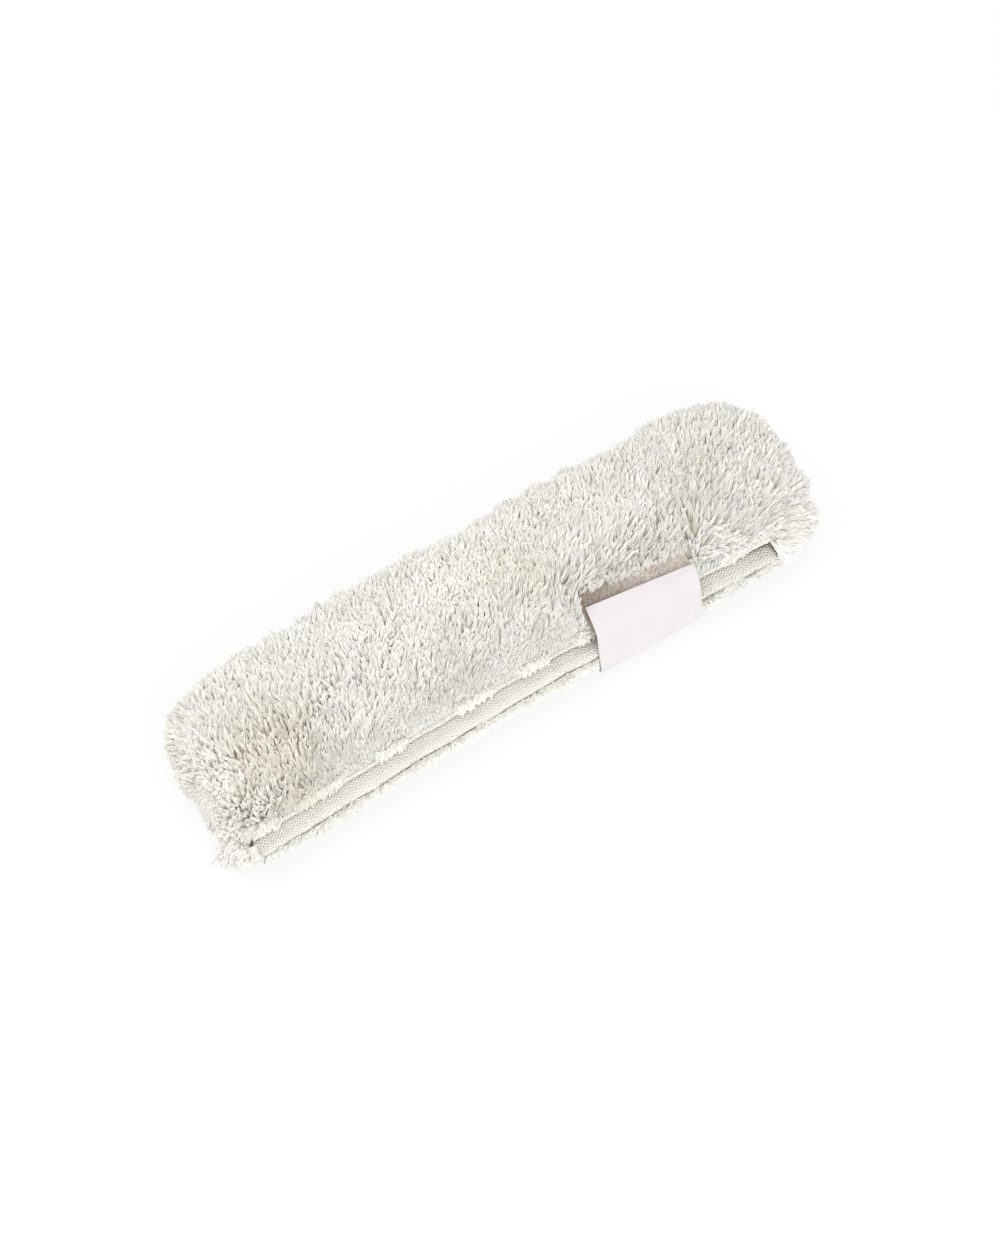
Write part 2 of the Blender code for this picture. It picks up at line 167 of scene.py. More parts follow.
# Droop of the upper lip, which is limp and closes the mouth but for its right end
LIP_DROOP = 5.5
DROOP_FADE = 16
DROOP_OPEN = 126  # where the mouth starts to open
DROOP_LOST = 0.75  # share of the droop lost past there
DROOP_HELD = 1.6  # how far the strap holds the lip up
DROOP_HELD_REACH = 36
DROOP_BOTTOM = 16.6
DROOP_RISE = 4
DROOP_FRONT = -35
DROOP_DEPTH = 24

# Strap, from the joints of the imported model
JOINTS = {joint["name"]: joint for joint in frame["joints"]}
STRAP_CENTRE, FOLD_Y, FOLD_Z = (value / MM for value in JOINTS["strap_swing"]["pos_m"])
BEND_Y, BEND_Z = (value / MM for value in JOINTS["strap_peel"]["pos_m"][1:])
STRAP_WIDTH = 63
STRAP = 1.0
STRAP_SKEW = 0.15  # drift to the right along the front and the tip
CHANNEL_GAP = 0.8
FILL = 2.0  # how much denser the locks are that fill the channel beside the skewed strap
FILL_DEPTH = 2.8
PATCH_SHOWN = 6.8  # length of the patch seen past the strap's tip
TIP_SLOPE = math.radians(15)
TIP_LEFT = 15
TIP_RIGHT = 7
FOLD_RADIUS = 1.9
BEND_RADIUS = 9
ROOT_REACH = 29
ROOT_RISE = 7.9
PATCH_START = 4
PATCH_END = 24
PATCH_TOP = 2.2  # below the middle of the strap's tip
HOOK_TOP = 0.9
HOOK_ROWS = 5
HOOK_COLUMNS = 44
HOOK_THICK = 0.13  # radius
LOOPS = 3600
LOOP_THICK = 0.075

# Photograph
VIEW_AZIMUTH = -33.4
VIEW_ELEVATION = 60
VIEW_HEIGHT = 637
VIEW_RIGHT = 3.1
VIEW_UP = 2.8
CAMERA_DISTANCE = 4700
SENSOR = 36
FLOOR_SIZE = 12
FLOOR_GLOW = 0.82  # share of plain white that the camera sees on the floor
SKY = 0.97  # strength of the white light from all round


def smooth(value):
    value = np.clip(value, 0, 1)
    return value * value * (3 - 2 * value)


def unit(vectors):
    return vectors / np.maximum(np.linalg.norm(vectors, axis=-1, keepdims=True), 1e-9)


def noise(points, wavelength, seed, waves=7):
    """Smooth random field of about -1 to 1 made of plane waves."""
    rng = np.random.default_rng(seed)
    total = 0
    for _ in range(waves):
        direction = unit(rng.normal(size=3))
        stretch = rng.uniform(0.75, 1.35)
        turns = points @ direction * 2 * np.pi / (wavelength * stretch)
        total = total + np.sin(turns + rng.uniform(0, 2 * np.pi))
    return total / math.sqrt(waves)


def uneven(points, terms):
    """Sum of random fields, each given as its amount, wavelength and seed."""
    return sum(amount * noise(points, wavelength, seed) for amount, wavelength, seed in terms)


def running_length(points):
    """Length of a path up to each of its points."""
    return np.concatenate([[0], np.cumsum(np.linalg.norm(np.diff(points, axis=0), axis=1))])


def pick(keep, *parts):
    """The chosen rows of some arrays."""
    return [part[keep] for part in parts]


def bow(x):
    """Shift of a section: the middle lies back and the ends forward."""
    return BOW * (2 / 3 - (x / HALF_LENGTH) ** 2)


class Run:
    """Straight run of the strap in the YZ plane."""

    def __init__(self, start, end):
        self.start = np.array(start, float)
        self.along = unit(np.array(end, float) - self.start)
        self.length = float(np.linalg.norm(np.array(end, float) - self.start))
        self.inward = np.array([self.along[1], -self.along[0]])

    def place(self, points):
        """How far along the run, and how far inwards from it, each point lies."""
        away = points[..., 1:] - self.start
        return away @ self.along, away @ self.inward


def on_run(run, x, along, inward):
    """Points beside a run of the strap."""
    yz = run.start + np.multiply.outer(along, run.along) + np.multiply.outer(inward, run.inward)
    return np.concatenate([np.asarray(x)[..., None], yz], -1)


FOLD = (FOLD_Y, FOLD_Z)
BEND = (BEND_Y, BEND_Z)
ROOT = (FOLD_Y + ROOT_REACH, FOLD_Z + ROOT_RISE)
TIP_END = (BEND_Y + math.cos(TIP_SLOPE), BEND_Z + math.sin(TIP_SLOPE))
ROOT_RUN = Run(ROOT, FOLD)
FRONT_RUN = Run(FOLD, BEND)
TIP_RUN = Run(BEND, TIP_END)
STRAP_MIDDLE = (np.array(FOLD) + np.array(BEND)) / 2  # where the strap's two pieces meet, on its front


def on_tip(x, along, inward):
    """Points on the plane of the strap's tip."""
    return on_run(TIP_RUN, x, along, inward)


def path_drift(path):
    """Drift of the strap to the right, at a length along it above the fold."""
    return STRAP_SKEW * np.maximum(path, 0)


PATCH_CENTRE = STRAP_CENTRE + path_drift(FRONT_RUN.length + PATCH_START)


def beside_strap(points):
    """How far points lie past the nearer side of the skewed strap; negative between its sides."""
    front = np.clip(FRONT_RUN.place(points)[0], 0, FRONT_RUN.length)
    tip = np.maximum(TIP_RUN.place(points)[0], 0)
    middle = STRAP_CENTRE + path_drift(front + tip)
    return np.abs(points[..., 0] - middle) - STRAP_WIDTH / 2


def in_channel(points, clearance=0.0):
    """Whether points lie in the strap's channel, where the pile is parted or pressed flat."""
    between = beside_strap(points) < CHANNEL_GAP + clearance
    front = FRONT_RUN.place(points)[1] < 0.9 + clearance
    root = (ROOT_RUN.place(points)[1] < 0.9 + clearance) & (points[..., 1] < ROOT[0] + CHANNEL_GAP)
    along, inward = TIP_RUN.place(points)
    tip = (inward < 3.5 + clearance) & (along < PATCH_END + CHANNEL_GAP)
    return between & (front | root | tip)


def channel_sides():
    """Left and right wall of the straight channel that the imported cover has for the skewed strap."""
    half = STRAP_WIDTH / 2 + CHANNEL_GAP
    return STRAP_CENTRE - half, STRAP_CENTRE + half + path_drift(FRONT_RUN.length + TIP_RIGHT)


CHANNEL_LEFT, CHANNEL_RIGHT = channel_sides()


def from_channel(points):
    """Distance in plan from the strap's channel on top."""
    x = np.maximum(np.maximum(CHANNEL_LEFT - points[..., 0], points[..., 0] - CHANNEL_RIGHT), 0)
    y = np.maximum(points[..., 1] - (BEND_Y + (PATCH_END + CHANNEL_GAP) * math.cos(TIP_SLOPE)), 0)
    return np.hypot(x, y)


def superellipse(angle, roundness):
    """Unit superellipse at a polar angle."""
    c, s = np.cos(angle), np.sin(angle)
    reach = (np.abs(c) ** roundness + np.abs(s) ** roundness) ** (-1 / roundness)
    return c * reach, s * reach


def in_mouth(x, fade):
    """1 along the mouth, fading to 0 past its two ends."""
    return smooth((x - MOUTH_LEFT) / fade + 1) * smooth((MOUTH_RIGHT - x) / fade + 1)


def cover(turn, around, depth=0.0):
    """Point of the cover.

    turn runs from the right end (0) to the left (pi), around from the back over the top.
    depth is 0 on the outside of the pile and 1 at its roots."""
    high = np.sin(around) >= 0
    across, up = superellipse(around, np.where(high, TOP_ROUNDNESS, BASE_ROUNDNESS))
    y = WIDTH / 2 * across
    z = WIDEST_AT + np.where(high, HEIGHT - WIDEST_AT, WIDEST_AT + REST_CUT) * up
    above_lip = smooth((z - POCKET_FLOOR) / MOUTH_GAP)
    y = y + np.where(y < 0, LIP_SETBACK * above_lip * np.minimum(1, 2 * y / FRONT), 0)
    front = smooth(0.5 - across)
    front_corner = np.where(turn < np.pi / 2, FRONT_RIGHT_CORNER, FRONT_LEFT_CORNER)
    along, plan = superellipse(turn, BACK_CORNER + (front_corner - BACK_CORNER) * front)
    rise = superellipse(turn, BACK_CORNER)[1] ** 1.5
    x = HALF_LENGTH * along
    y = y * plan
    z = (z - WIDEST_AT) * rise
    lip = smooth(1 - (np.abs(around - np.pi) - 0.2) / 0.35) * in_mouth(x, 8)
    depth = depth * (1 - (1 - PILE_AT_LIP) * lip)
    x = x * (1 - depth * np.where(x < 0, PILE_LEFT_END, PILE_RIGHT_END) / HALF_LENGTH)
    y = y * (1 - depth * PILE_SIDE / (WIDTH / 2))
    z = z * (1 - depth * np.where(high, PILE_TOP / (HEIGHT - WIDEST_AT), PILE_BASE / WIDEST_AT))
    return np.stack([x, y + bow(x), np.maximum(WIDEST_AT + z, 0)], -1)


def beside_channel(points):
    """Lowers the ground of the pile beside the strap, on top and underneath."""
    away = from_channel(points)
    valley = BEND_Z + (points[..., 1] - BEND_Y) * math.tan(TIP_SLOPE) - 2.5 + 0.8 * away
    points = points.copy()
    points[..., 2] = np.minimum(points[..., 2], np.maximum(valley, WIDEST_AT + 9))
    return points


def droop(points):
    """Sags everything that hangs on the upper lip."""
    x, y, z = np.moveaxis(points, -1, 0)
    amount = LIP_DROOP * (1 - DROOP_LOST * smooth((x - DROOP_OPEN) / DROOP_FADE))
    amount = amount * smooth((x - POCKET_LEFT + 6) / DROOP_FADE)
    amount = amount - DROOP_HELD * np.exp(-((x - STRAP_CENTRE) / DROOP_HELD_REACH) ** 2)
    amount = np.maximum(amount, 0) * smooth((z - DROOP_BOTTOM) / DROOP_RISE)
    amount = amount * (1 - smooth((y - bow(x) - DROOP_FRONT) / DROOP_DEPTH))
    moved = points.copy()
    moved[..., 2] -= amount
    moved[..., 1] += 0.3 * amount
    return moved


def add_object(name, data):
    made = bpy.data.objects.new(name, data)
    bpy.context.scene.collection.objects.link(made)
    return made


def mesh_object(name, points, faces, finish, uv=None, fields=None, uv_name="Weave", crease=None,
                normals=None):
    """Makes an object from points in millimetres and arrays of faces with equal corners.

    crease is the angle in degrees past which an edge stays sharp."""
    mesh = bpy.data.meshes.new(name)
    loops = np.concatenate([block.ravel() for block in faces])
    sizes = np.concatenate([np.full(len(block), block.shape[1]) for block in faces])
    starts = np.concatenate([[0], np.cumsum(sizes)[:-1]])
    mesh.vertices.add(len(points))
    mesh.vertices.foreach_set("co", (points * MM).astype(np.float32).ravel())
    mesh.loops.add(len(loops))
    mesh.loops.foreach_set("vertex_index", loops.astype(np.int32))
    mesh.polygons.add(len(sizes))
    mesh.polygons.foreach_set("loop_start", starts.astype(np.int32))
    mesh.update(calc_edges=True)
    mesh.shade_smooth()
    if crease:
        mesh.set_sharp_from_angle(angle=math.radians(crease))
    if uv is not None:
        layer = mesh.uv_layers.new(name=uv_name)
        layer.data.foreach_set("uv", uv[loops].astype(np.float32).ravel())
    for word, values in (fields or {}).items():
        attribute = mesh.attributes.new(word, "FLOAT", "POINT")
        attribute.data.foreach_set("value", values.astype(np.float32))
    if normals is not None:
        mesh.normals_split_custom_set_from_vertices(normals.astype(np.float32))
    mesh.materials.append(finish)
    return add_object(name, mesh)


def grid_faces(rows, columns, start=0, flip=False, wrap=False):
    """Quads of a grid of points, which closes on itself along its columns if wrap is set."""
    i = np.arange(rows - 1)[:, None]
    j = np.arange(columns if wrap else columns - 1)[None, :]
    k = (j + 1) % columns
    quads = np.stack([i * columns + j, i * columns + k, (i + 1) * columns + k, (i + 1) * columns + j], -1)
    quads = quads.reshape(-1, 4) + start
    return quads[:, ::-1] if flip else quads


def grid_normals(grid):
    down = np.gradient(grid, axis=0)
    over = np.gradient(grid, axis=1)
    return unit(np.cross(down, over))


def arc_lengths(grid, axis):
    """Mean length of a grid along one of its two directions, up to each row or column."""
    steps = np.linalg.norm(np.diff(grid, axis=axis), axis=-1).mean(1 - axis)
    return np.concatenate([[0], np.cumsum(steps)])


def cloth(name, grid, thickness, finish, soft_edge=0.5, full=(False, False)):
    """Closed sheet of cloth about a grid of points, thinner towards its edges, with its own lengths as UV.

    full says whether the first and the last column keep the whole thickness."""
    rows, columns = grid.shape[:2]
    v, u = arc_lengths(grid, 0), arc_lengths(grid, 1)
    along = np.minimum(u + 9 * full[0], u[-1] - u + 9 * full[1])
    to_edge = np.minimum(np.minimum(v, v[-1] - v)[:, None], along[None, :])
    half = thickness / 2 * (0.35 + 0.65 * np.sqrt(np.clip(to_edge / soft_edge, 0, 1)))
    lift = grid_normals(grid) * half[..., None]
    points = np.concatenate([(grid + lift).reshape(-1, 3), (grid - lift).reshape(-1, 3)])
    flat = np.stack(np.broadcast_arrays(u[None, :], v[:, None]), -1).reshape(-1, 2) * MM
    index = np.arange(rows * columns).reshape(rows, columns)
    rim = np.concatenate([index[0], index[1:, -1], index[-1, -2::-1], index[-2:0:-1, 0]])
    after = np.roll(rim, -1)
    other = rows * columns
    sides = np.stack([after, rim, rim + other, after + other], -1)
    faces = [grid_faces(rows, columns), grid_faces(rows, columns, other, flip=True), sides]
    crease = 60 if any(full) else None
    uv = np.concatenate([flat, flat + thickness * MM])
    return mesh_object(name, points, faces, finish, uv, crease=crease)


def strands(centres, radii, side, up, sides=3):
    """Points and faces of many closed, tapering strands: centres is strands x rings x 3."""
    count, rings = centres.shape[:2]
    turns = 2 * np.pi * np.arange(sides) / sides
    circle = side[:, None, None] * np.cos(turns)[:, None] + up[:, None, None] * np.sin(turns)[:, None]
    points = centres[:, :, None] + circle * radii[:, :, None, None]
    base = np.arange(count)[:, None, None] * rings * sides
    walls = grid_faces(rings, sides, wrap=True)[None] + base
    ring = np.arange(sides)
    caps = np.concatenate([ring[::-1] + base, ring + (rings - 1) * sides + base], 1)
    faces = [walls.reshape(-1, 4), caps.reshape(-1, sides)]
    return points.reshape(-1, 3), faces


def tubes(name, paths, radius, finish, lift, sides=6, taper=0.6):
    """One object of round threads along paths of equal counts of points, thinner at both ends."""
    paths = np.array(paths, float)
    forward = unit(paths[:, -1] - paths[:, 0])
    lift = np.broadcast_to(np.array(lift, float), forward.shape)
    side = unit(np.cross(forward, lift))
    up = np.cross(side, forward)
    share = np.linspace(0, 1, paths.shape[1])
    profile = radius * (taper + (1 - taper) * np.sqrt(np.clip(4 * share * (1 - share), 0, 1)))
    points, faces = strands(paths, np.broadcast_to(profile, paths.shape[:2]), side, up, sides)
    length = np.linalg.norm(paths[:, -1] - paths[:, 0], axis=-1)
    v = np.repeat(length[:, None] * share[None], sides, axis=1).reshape(-1)
    u = np.tile(np.linspace(0, 2 * np.pi * radius, sides), paths.shape[0] * paths.shape[1])
    return mesh_object(name, points, faces, finish, np.stack([u, v], -1) * MM)


def put(tree, node, inputs):
    """Sets a node's inputs, or links them where a value is another node's output."""
    for name, value in inputs.items():
        if isinstance(value, bpy.types.NodeSocket):
            tree.links.new(value, node.inputs[name])
        else:
            node.inputs[name].default_value = value


def add_node(tree, kind, inputs=None, **settings):
    made = tree.nodes.new("ShaderNode" + kind)
    for word, value in settings.items():
        setattr(made, word, value)
    put(tree, made, inputs or {})
    return made


class Nodes:
    """Short way to write a material's nodes. Wavelengths, pitches and heights are in millimetres."""

    def __init__(self, name, roughness, sheen=0.0):
        self.material = bpy.data.materials.new(name)
        self.material.use_nodes = True
        self.tree = self.material.node_tree
        self.shine({"Roughness": roughness, "Sheen Weight": sheen, "Sheen Roughness": 0.5,
                    "Specular IOR Level": 0.25})

    def shine(self, inputs):
        put(self.tree, self.tree.nodes["Principled BSDF"], inputs)

    def node(self, kind, inputs=None, **settings):
        return add_node(self.tree, kind, inputs, **settings)

    def attribute(self, name):
        return self.node("Attribute", attribute_name=name).outputs["Fac"]

    def place(self):
        return self.node("TexCoord").outputs["Object"]

    def weave_uv(self):
        uv = self.node("UVMap", uv_map="Weave").outputs["UV"]
        return self.node("SeparateXYZ", {0: uv}).outputs[:2]

    def math(self, operation, a, b=0.0):
        return self.node("Math", {0: a, 1: b}, operation=operation).outputs[0]

    def times(self, a, b):
        return self.math("MULTIPLY", a, b)

    def plus(self, a, b):
        return self.math("ADD", a, b)

    def wave(self, value, pitch):
        """Sine from 0 to 1 along a length."""
        turned = self.math("SINE", self.times(value, 2 * math.pi / (pitch * MM)))
        return self.plus(self.times(turned, 0.5), 0.5)

    def noise(self, wavelength, detail=2.0, rough=0.5):
        """Random field over the object."""
        inputs = {"Vector": self.place(), "Scale": 1 / (wavelength * MM)}
        return self.node("TexNoise", inputs | {"Detail": detail, "Roughness": rough}).outputs["Fac"]

    def ramp(self, factor, stops):
        """Colour ramp through (place, colour) stops."""
        made = self.node("ValToRGB", {0: factor})
        elements = made.color_ramp.elements
        while len(elements) < len(stops):
            elements.new(0.5)
        for element, (place, colour) in zip(elements, stops):
            element.position = place
            element.color = (*colour, 1)
        return made.outputs["Color"]

    def blotches(self, wavelength, dark, light, edge=0.3, detail=2.0, rough=0.5):
        """Colour that goes from one to another in blotches."""
        return self.ramp(self.noise(wavelength, detail, rough), [(edge, dark), (1 - edge, light)])

    def mix(self, factor, a, b, blend="MIX"):
        return self.node("Mix", {0: factor, 6: a, 7: b}, data_type="RGBA", blend_type=blend).outputs[2]

    def colour(self, value):
        self.shine({"Base Color": value})

    def bump(self, height, strength, distance):
        inputs = {"Strength": strength, "Distance": distance * MM, "Height": height}
        self.shine({"Normal": self.node("Bump", inputs).outputs[0]})


def pile_finish():
    """Cut pile: darker and warmer towards the roots as painted shade deep in the pile, nearly white at the
    tips, a little different in each lock.
    """
    nodes = Nodes("white_pile", 0.85, sheen=0.35)
    along, tone = nodes.attribute("along"), nodes.attribute("tone")
    places = (0.0, 0.35, 0.68, 1.0)
    # colours along a lock, from root to tip: darker towards the root as painted shade deep in the pile
    pale_tone = (0.95, 0.915, 0.81), (0.97, 0.948, 0.88), (0.985, 0.967, 0.915), (0.99, 0.977, 0.935)
    grey = (0.79, 0.71, 0.56), (0.86, 0.80, 0.67), (0.90, 0.86, 0.76), (0.925, 0.89, 0.81)
    pale_tone, grey = (nodes.ramp(along, list(zip(places, colours))) for colours in (pale_tone, grey))
    # tone mixes the two: random for each lock, plus painted shade and light from the shading zones
    nodes.colour(nodes.mix(tone, pale_tone, grey))
    return nodes.material


def ground_finish():
    """Dense lower part of the pile, seen only between locks."""
    nodes = Nodes("pile_ground", 0.95)
    nodes.colour(nodes.blotches(2.2, (0.92, 0.87, 0.74), (0.97, 0.94, 0.86), detail=4, rough=0.7))
    nodes.bump(nodes.noise(0.9, 3, 0.6), 0.8, 0.8)
    return nodes.material


def knit_finish():
    """Plain knit of the lining: fine columns of stitches."""
    nodes = Nodes("lining_knit", 0.9, sheen=0.2)
    u, v = nodes.weave_uv()
    zigzag = nodes.math("ABSOLUTE", nodes.math("SUBTRACT", nodes.wave(u, 1.6), 0.5))
    slant = nodes.plus(v, nodes.times(zigzag, 0.9 * MM))
    stitch = nodes.times(nodes.wave(slant, 1.1), nodes.wave(u, 0.8))
    plain = nodes.blotches(9, (0.74, 0.71, 0.64), (0.82, 0.80, 0.75))
    nodes.colour(nodes.mix(nodes.times(stitch, 0.5), (0.62, 0.58, 0.5, 1), plain))
    nodes.bump(stitch, 0.7, 0.35)
    return nodes.material


def tape_finish():
    """Herringbone twill tape: slanting ribs that turn back every few threads."""
    nodes = Nodes("binding_twill", 0.82, sheen=0.2)
    u, v = nodes.weave_uv()
    zigzag = nodes.math("PINGPONG", v, 2.4 * MM)
    ribs = nodes.wave(nodes.plus(u, zigzag), 1.9)
    threads = nodes.wave(v, 1.3)
    relief = nodes.plus(nodes.times(ribs, 0.7), nodes.times(threads, 0.3))
    plain = nodes.blotches(14, (0.935, 0.915, 0.87), (0.965, 0.95, 0.915), detail=3)
    dark = nodes.mix(1.0, plain, (0.86, 0.84, 0.79, 1), "MULTIPLY")
    nodes.colour(nodes.mix(relief, dark, plain))
    nodes.bump(relief, 1.0, 0.6)
    return nodes.material


def thread_finish():
    """Twisted sewing thread."""
    nodes = Nodes("sewing_thread", 0.6)
    u, v = nodes.weave_uv()
    twist = nodes.wave(nodes.plus(u, v), 0.45)
    nodes.colour(nodes.mix(twist, (0.84, 0.82, 0.76, 1), (0.95, 0.94, 0.91, 1)))
    nodes.bump(twist, 0.5, 0.1)
    return nodes.material


def webbing_finish():
    """Smooth, close weave of the strap, white with a faint pink tint and a few specks."""
    nodes = Nodes("strap_weave", 0.7, sheen=0.1)
    u, v = nodes.weave_uv()
    weave = nodes.times(nodes.wave(u, 0.62), nodes.wave(v, 0.5))
    cloudy = nodes.blotches(16, (0.72, 0.687, 0.68), (0.74, 0.707, 0.70), edge=0.25, detail=3)
    shade = nodes.mix(nodes.times(weave, 0.4), cloudy, (0.665, 0.632, 0.625, 1))
    specks = nodes.node("TexVoronoi", {"Vector": nodes.place(), "Scale": 1 / (9 * MM)}, feature="F1")
    speck = nodes.math("LESS_THAN", specks.outputs["Distance"], 0.035)
    nodes.colour(nodes.mix(nodes.times(speck, 0.45), shade, (0.55, 0.50, 0.47, 1)))
    nodes.bump(weave, 0.6, 0.16)
    return nodes.material


def loop_finish():
    """Brushed loops of the patch, warm grey, with painted shade that darkens them towards the left."""
    nodes = Nodes("brushed_loops", 0.95, sheen=0.3)
    x = nodes.node("SeparateXYZ", {0: nodes.place()}).outputs["X"]
    from_left = nodes.math("SUBTRACT", x, (PATCH_CENTRE - STRAP_WIDTH / 2) * MM)
    share = nodes.math("DIVIDE", from_left, STRAP_WIDTH * MM)
    plain = nodes.blotches(1.6, (0.58, 0.50, 0.44), (0.80, 0.73, 0.67), detail=3, rough=0.7)
    # painted shade: the loops get darker towards the patch's left
    painted_left_shade = nodes.ramp(share, [(0.0, (0.55, 0.50, 0.46)), (0.6, (1.0, 1.0, 1.0))])
    nodes.colour(nodes.mix(1.0, plain, painted_left_shade, "MULTIPLY"))
    nodes.bump(nodes.noise(0.5, 2), 0.6, 0.3)
    return nodes.material


def hook_finish():
    nodes = Nodes("hook_nylon", 0.45)
    nodes.colour(nodes.blotches(3, (0.80, 0.78, 0.77), (0.88, 0.86, 0.85)))
    return nodes.material


def sleeve_piece(piece, slot, *nodes):
    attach(piece, "sleeve")
    if nodes:
        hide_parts(*nodes)
    return piece


def apply_boolean(body, other, operation):
    modifier = body.modifiers.new("shape", "BOOLEAN")
    modifier.operation = operation
    modifier.solver = "EXACT"
    modifier.object = other
    shaped = bpy.data.meshes.new_from_object(body.evaluated_get(bpy.context.evaluated_depsgraph_get()))
    body.modifiers.clear()
    body.data = shaped


def even_turns(count, margin):
    """Turns from the right end to the left, evenly spaced along the cover's outline."""
    fine = np.linspace(margin, np.pi - margin, 6000)
    length = running_length(cover(fine, np.zeros_like(fine)))
    return np.interp(np.linspace(0, length[-1], count), length, fine)


def drooped_copy(mesh):
    """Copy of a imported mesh, in metres, with the droop of the lip."""
    shape = mesh.copy()
    corners = np.zeros(len(shape.vertices) * 3, np.float32)
    shape.vertices.foreach_get("co", corners)
    moved = droop(corners.reshape(-1, 3).astype(float) / MM) * MM
    shape.vertices.foreach_set("co", moved.astype(np.float32).ravel())
    return add_object("cover_shape", shape)


def make_ground(finish):
    """Ground of the pile: the cover without its locks, with the pocket and the strap's channel cut out."""
    turns = even_turns(190, 0.04)[:, None]
    around = np.linspace(0, 2 * np.pi, 121)[:-1][None]
    grid = droop(beside_channel(cover(*np.broadcast_arrays(turns, around), depth=1.0)))
    rows, columns = grid.shape[:2]
    ends = [np.arange(columns)[None], (np.arange(columns) + (rows - 1) * columns)[::-1][None]]
    faces = [grid_faces(rows, columns, wrap=True, flip=True), *ends]
    body = mesh_object("pile_ground", grid.reshape(-1, 3), faces, finish)
    hollow = drooped_copy(frame["nodes"]["pile_cover"].data)
    apply_boolean(body, hollow, "INTERSECT")
    bpy.data.objects.remove(hollow)
    return sleeve_piece(body, "pile", "pile_cover")


def seam_path(side):
    """Closing seam of an end, from the front corner up to the dimple on top, on the cover's outside."""
    share = np.linspace(0, 1, 24)
    along = 0.985 - 0.125 * share ** 2
    around = np.radians(187 - 63 * share)
    corner = FRONT_RIGHT_CORNER if side > 0 else FRONT_LEFT_CORNER
    plan = (1 - along ** corner) ** (1 / corner)
    return cover(np.arctan2(plan, side * along), around)


def parting_path():
    """Short parting of the pile behind the strap's right corner."""
    share = np.linspace(0, 1, 12)
    x = PATCH_CENTRE + STRAP_WIDTH / 2 - 4 + 2 * share
    y = -15 + 17 * share
    return np.stack([x, y, np.full_like(x, HEIGHT - 2)], -1)


def tuft_roots(rng):
    """Turn and around of each lock, spread evenly over the cover."""
    rings = 2 * np.pi * np.arange(361) / 360
    places = []
    turns = even_turns(int(460 / TUFT_SPACING), 0.02)
    for turn in turns:
        length = running_length(cover(np.full_like(rings, turn), rings))
        count = max(3, int(length[-1] / TUFT_SPACING))
        at = (np.arange(count) + rng.uniform() + rng.uniform(-0.4, 0.4, count)) / count * length[-1]
        around = np.interp(at % length[-1], length, rings)
        shift = rng.uniform(-0.4, 0.4, count) * np.gradient(turns)[len(places)]
        places.append(np.stack([turn + shift, around], -1))
    places = np.concatenate(places)
    places[:, 0] = np.clip(places[:, 0], 0.005, np.pi - 0.005)
    return places


def backward_at(turn, around, step=0.02):
    """Way over the cover from its mouth to its back."""
    return unit(cover(turn, around - step) - cover(turn, around + step))


def lock_set(root, direction, bend, length, girth=TUFT_GIRTH, paleness=0.0):
    """Locks as arrays of equal length, with one girth and one paleness."""
    count = len(root)
    return [root, direction, bend, length, np.full(count, girth), np.full(count, paleness)]


def lock_line(direction, bend, length, shares):
    """Way from the root of each lock to some shares of its length."""
    return length[:, None, None] * (
        direction[:, None] * shares[:, None] + bend[:, None] * (shares ** 2)[:, None])


def clear_of_mouth(places):
    """Whether places lie outside the mouth, and clear of its left tack."""
    x, y, z = places.T
    front = y < bow(x) - 25
    tack = (np.abs(x - MOUTH_LEFT) < 3.5) & (z > 12) & (z < LIP_TOP) & front
    past_ends = (x < MOUTH_LEFT + 1) | (x > MOUTH_RIGHT - 1)
    return (past_ends | ~front | (z < FRINGE_TOP) | (z > LIP_TOP)) & ~tack


def in_fringe(places):
    """Whether places lie on the edge of the lower panel, under the mouth."""
    x, y, z = places.T
    return (z > 1) & (z < 14) & (y < bow(x) - 34) & (x > MOUTH_LEFT - 4) & (x < MOUTH_RIGHT + 4)


def part_pile(points, direction, length, path, reach=5.0, depth=0.3, lean=0.5):
    """Parts the pile along a path: locks lean away from it and get shorter beside it."""
    away = points[:, None] - path[None]
    nearest = np.argmin((away ** 2).sum(-1), axis=1)
    away = away[np.arange(len(points)), nearest]
    distance = np.linalg.norm(away, axis=1)
    push = 1 - smooth(distance / reach)
    direction = unit(direction + lean * push[:, None] * unit(away))
    return direction, length * (1 - depth * push)


def hem_share(places):
    """1 on the strip above the mouth where the pile is pressed flat, fading to 0 above its uneven edge."""
    x, y, z = places.T
    width = HEM * (1 - 0.7 * smooth((x - 92) / 12)) * (1 - 0.6 * smooth((-105 - x) / 25))
    edge = LIP_TOP + width + 2.2 * noise(places * [1, 0, 0], 34, 41)
    return smooth(1 - (z - edge) / 4) * smooth((z - 20) / 3) * (y < bow(x) - 20) * in_mouth(x, 8)


def edge_share(places):
    """Up to 1 on the upper rim of the fringe, in uneven stretches."""
    return in_fringe(places) * smooth((places[:, 2] - 9) / 2.5) * smooth(0.6 + noise(places, 14, 45))


def spot(places, x, y, reach):
    """1 at a place seen from above, fading away from it."""
    return np.exp(-((places[:, 0] - x) ** 2 + (places[:, 1] - y) ** 2) / reach ** 2)


def standing_length(outside, reach):
    """Length of upright locks whose roots lie reach inside the cover's outside."""
    x, y = outside.T[:2]
    lump = uneven(outside, LUMPS) + PUFF_PROUD * spot(outside, *PUFF)
    front = smooth((bow(x) - y - 18) / 22)
    proud = PROUD + END_PROUD * smooth((np.abs(x) - HALF_LENGTH + 22) / 18)
    proud = proud + RIGHT_CORNER_PROUD * front * smooth((x - 152) / 22)
    proud = proud + LEFT_CORNER_PROUD * front * smooth((-158 - x) / 12)
    return np.maximum(reach + proud + lump, SHORTEST_LOCK)


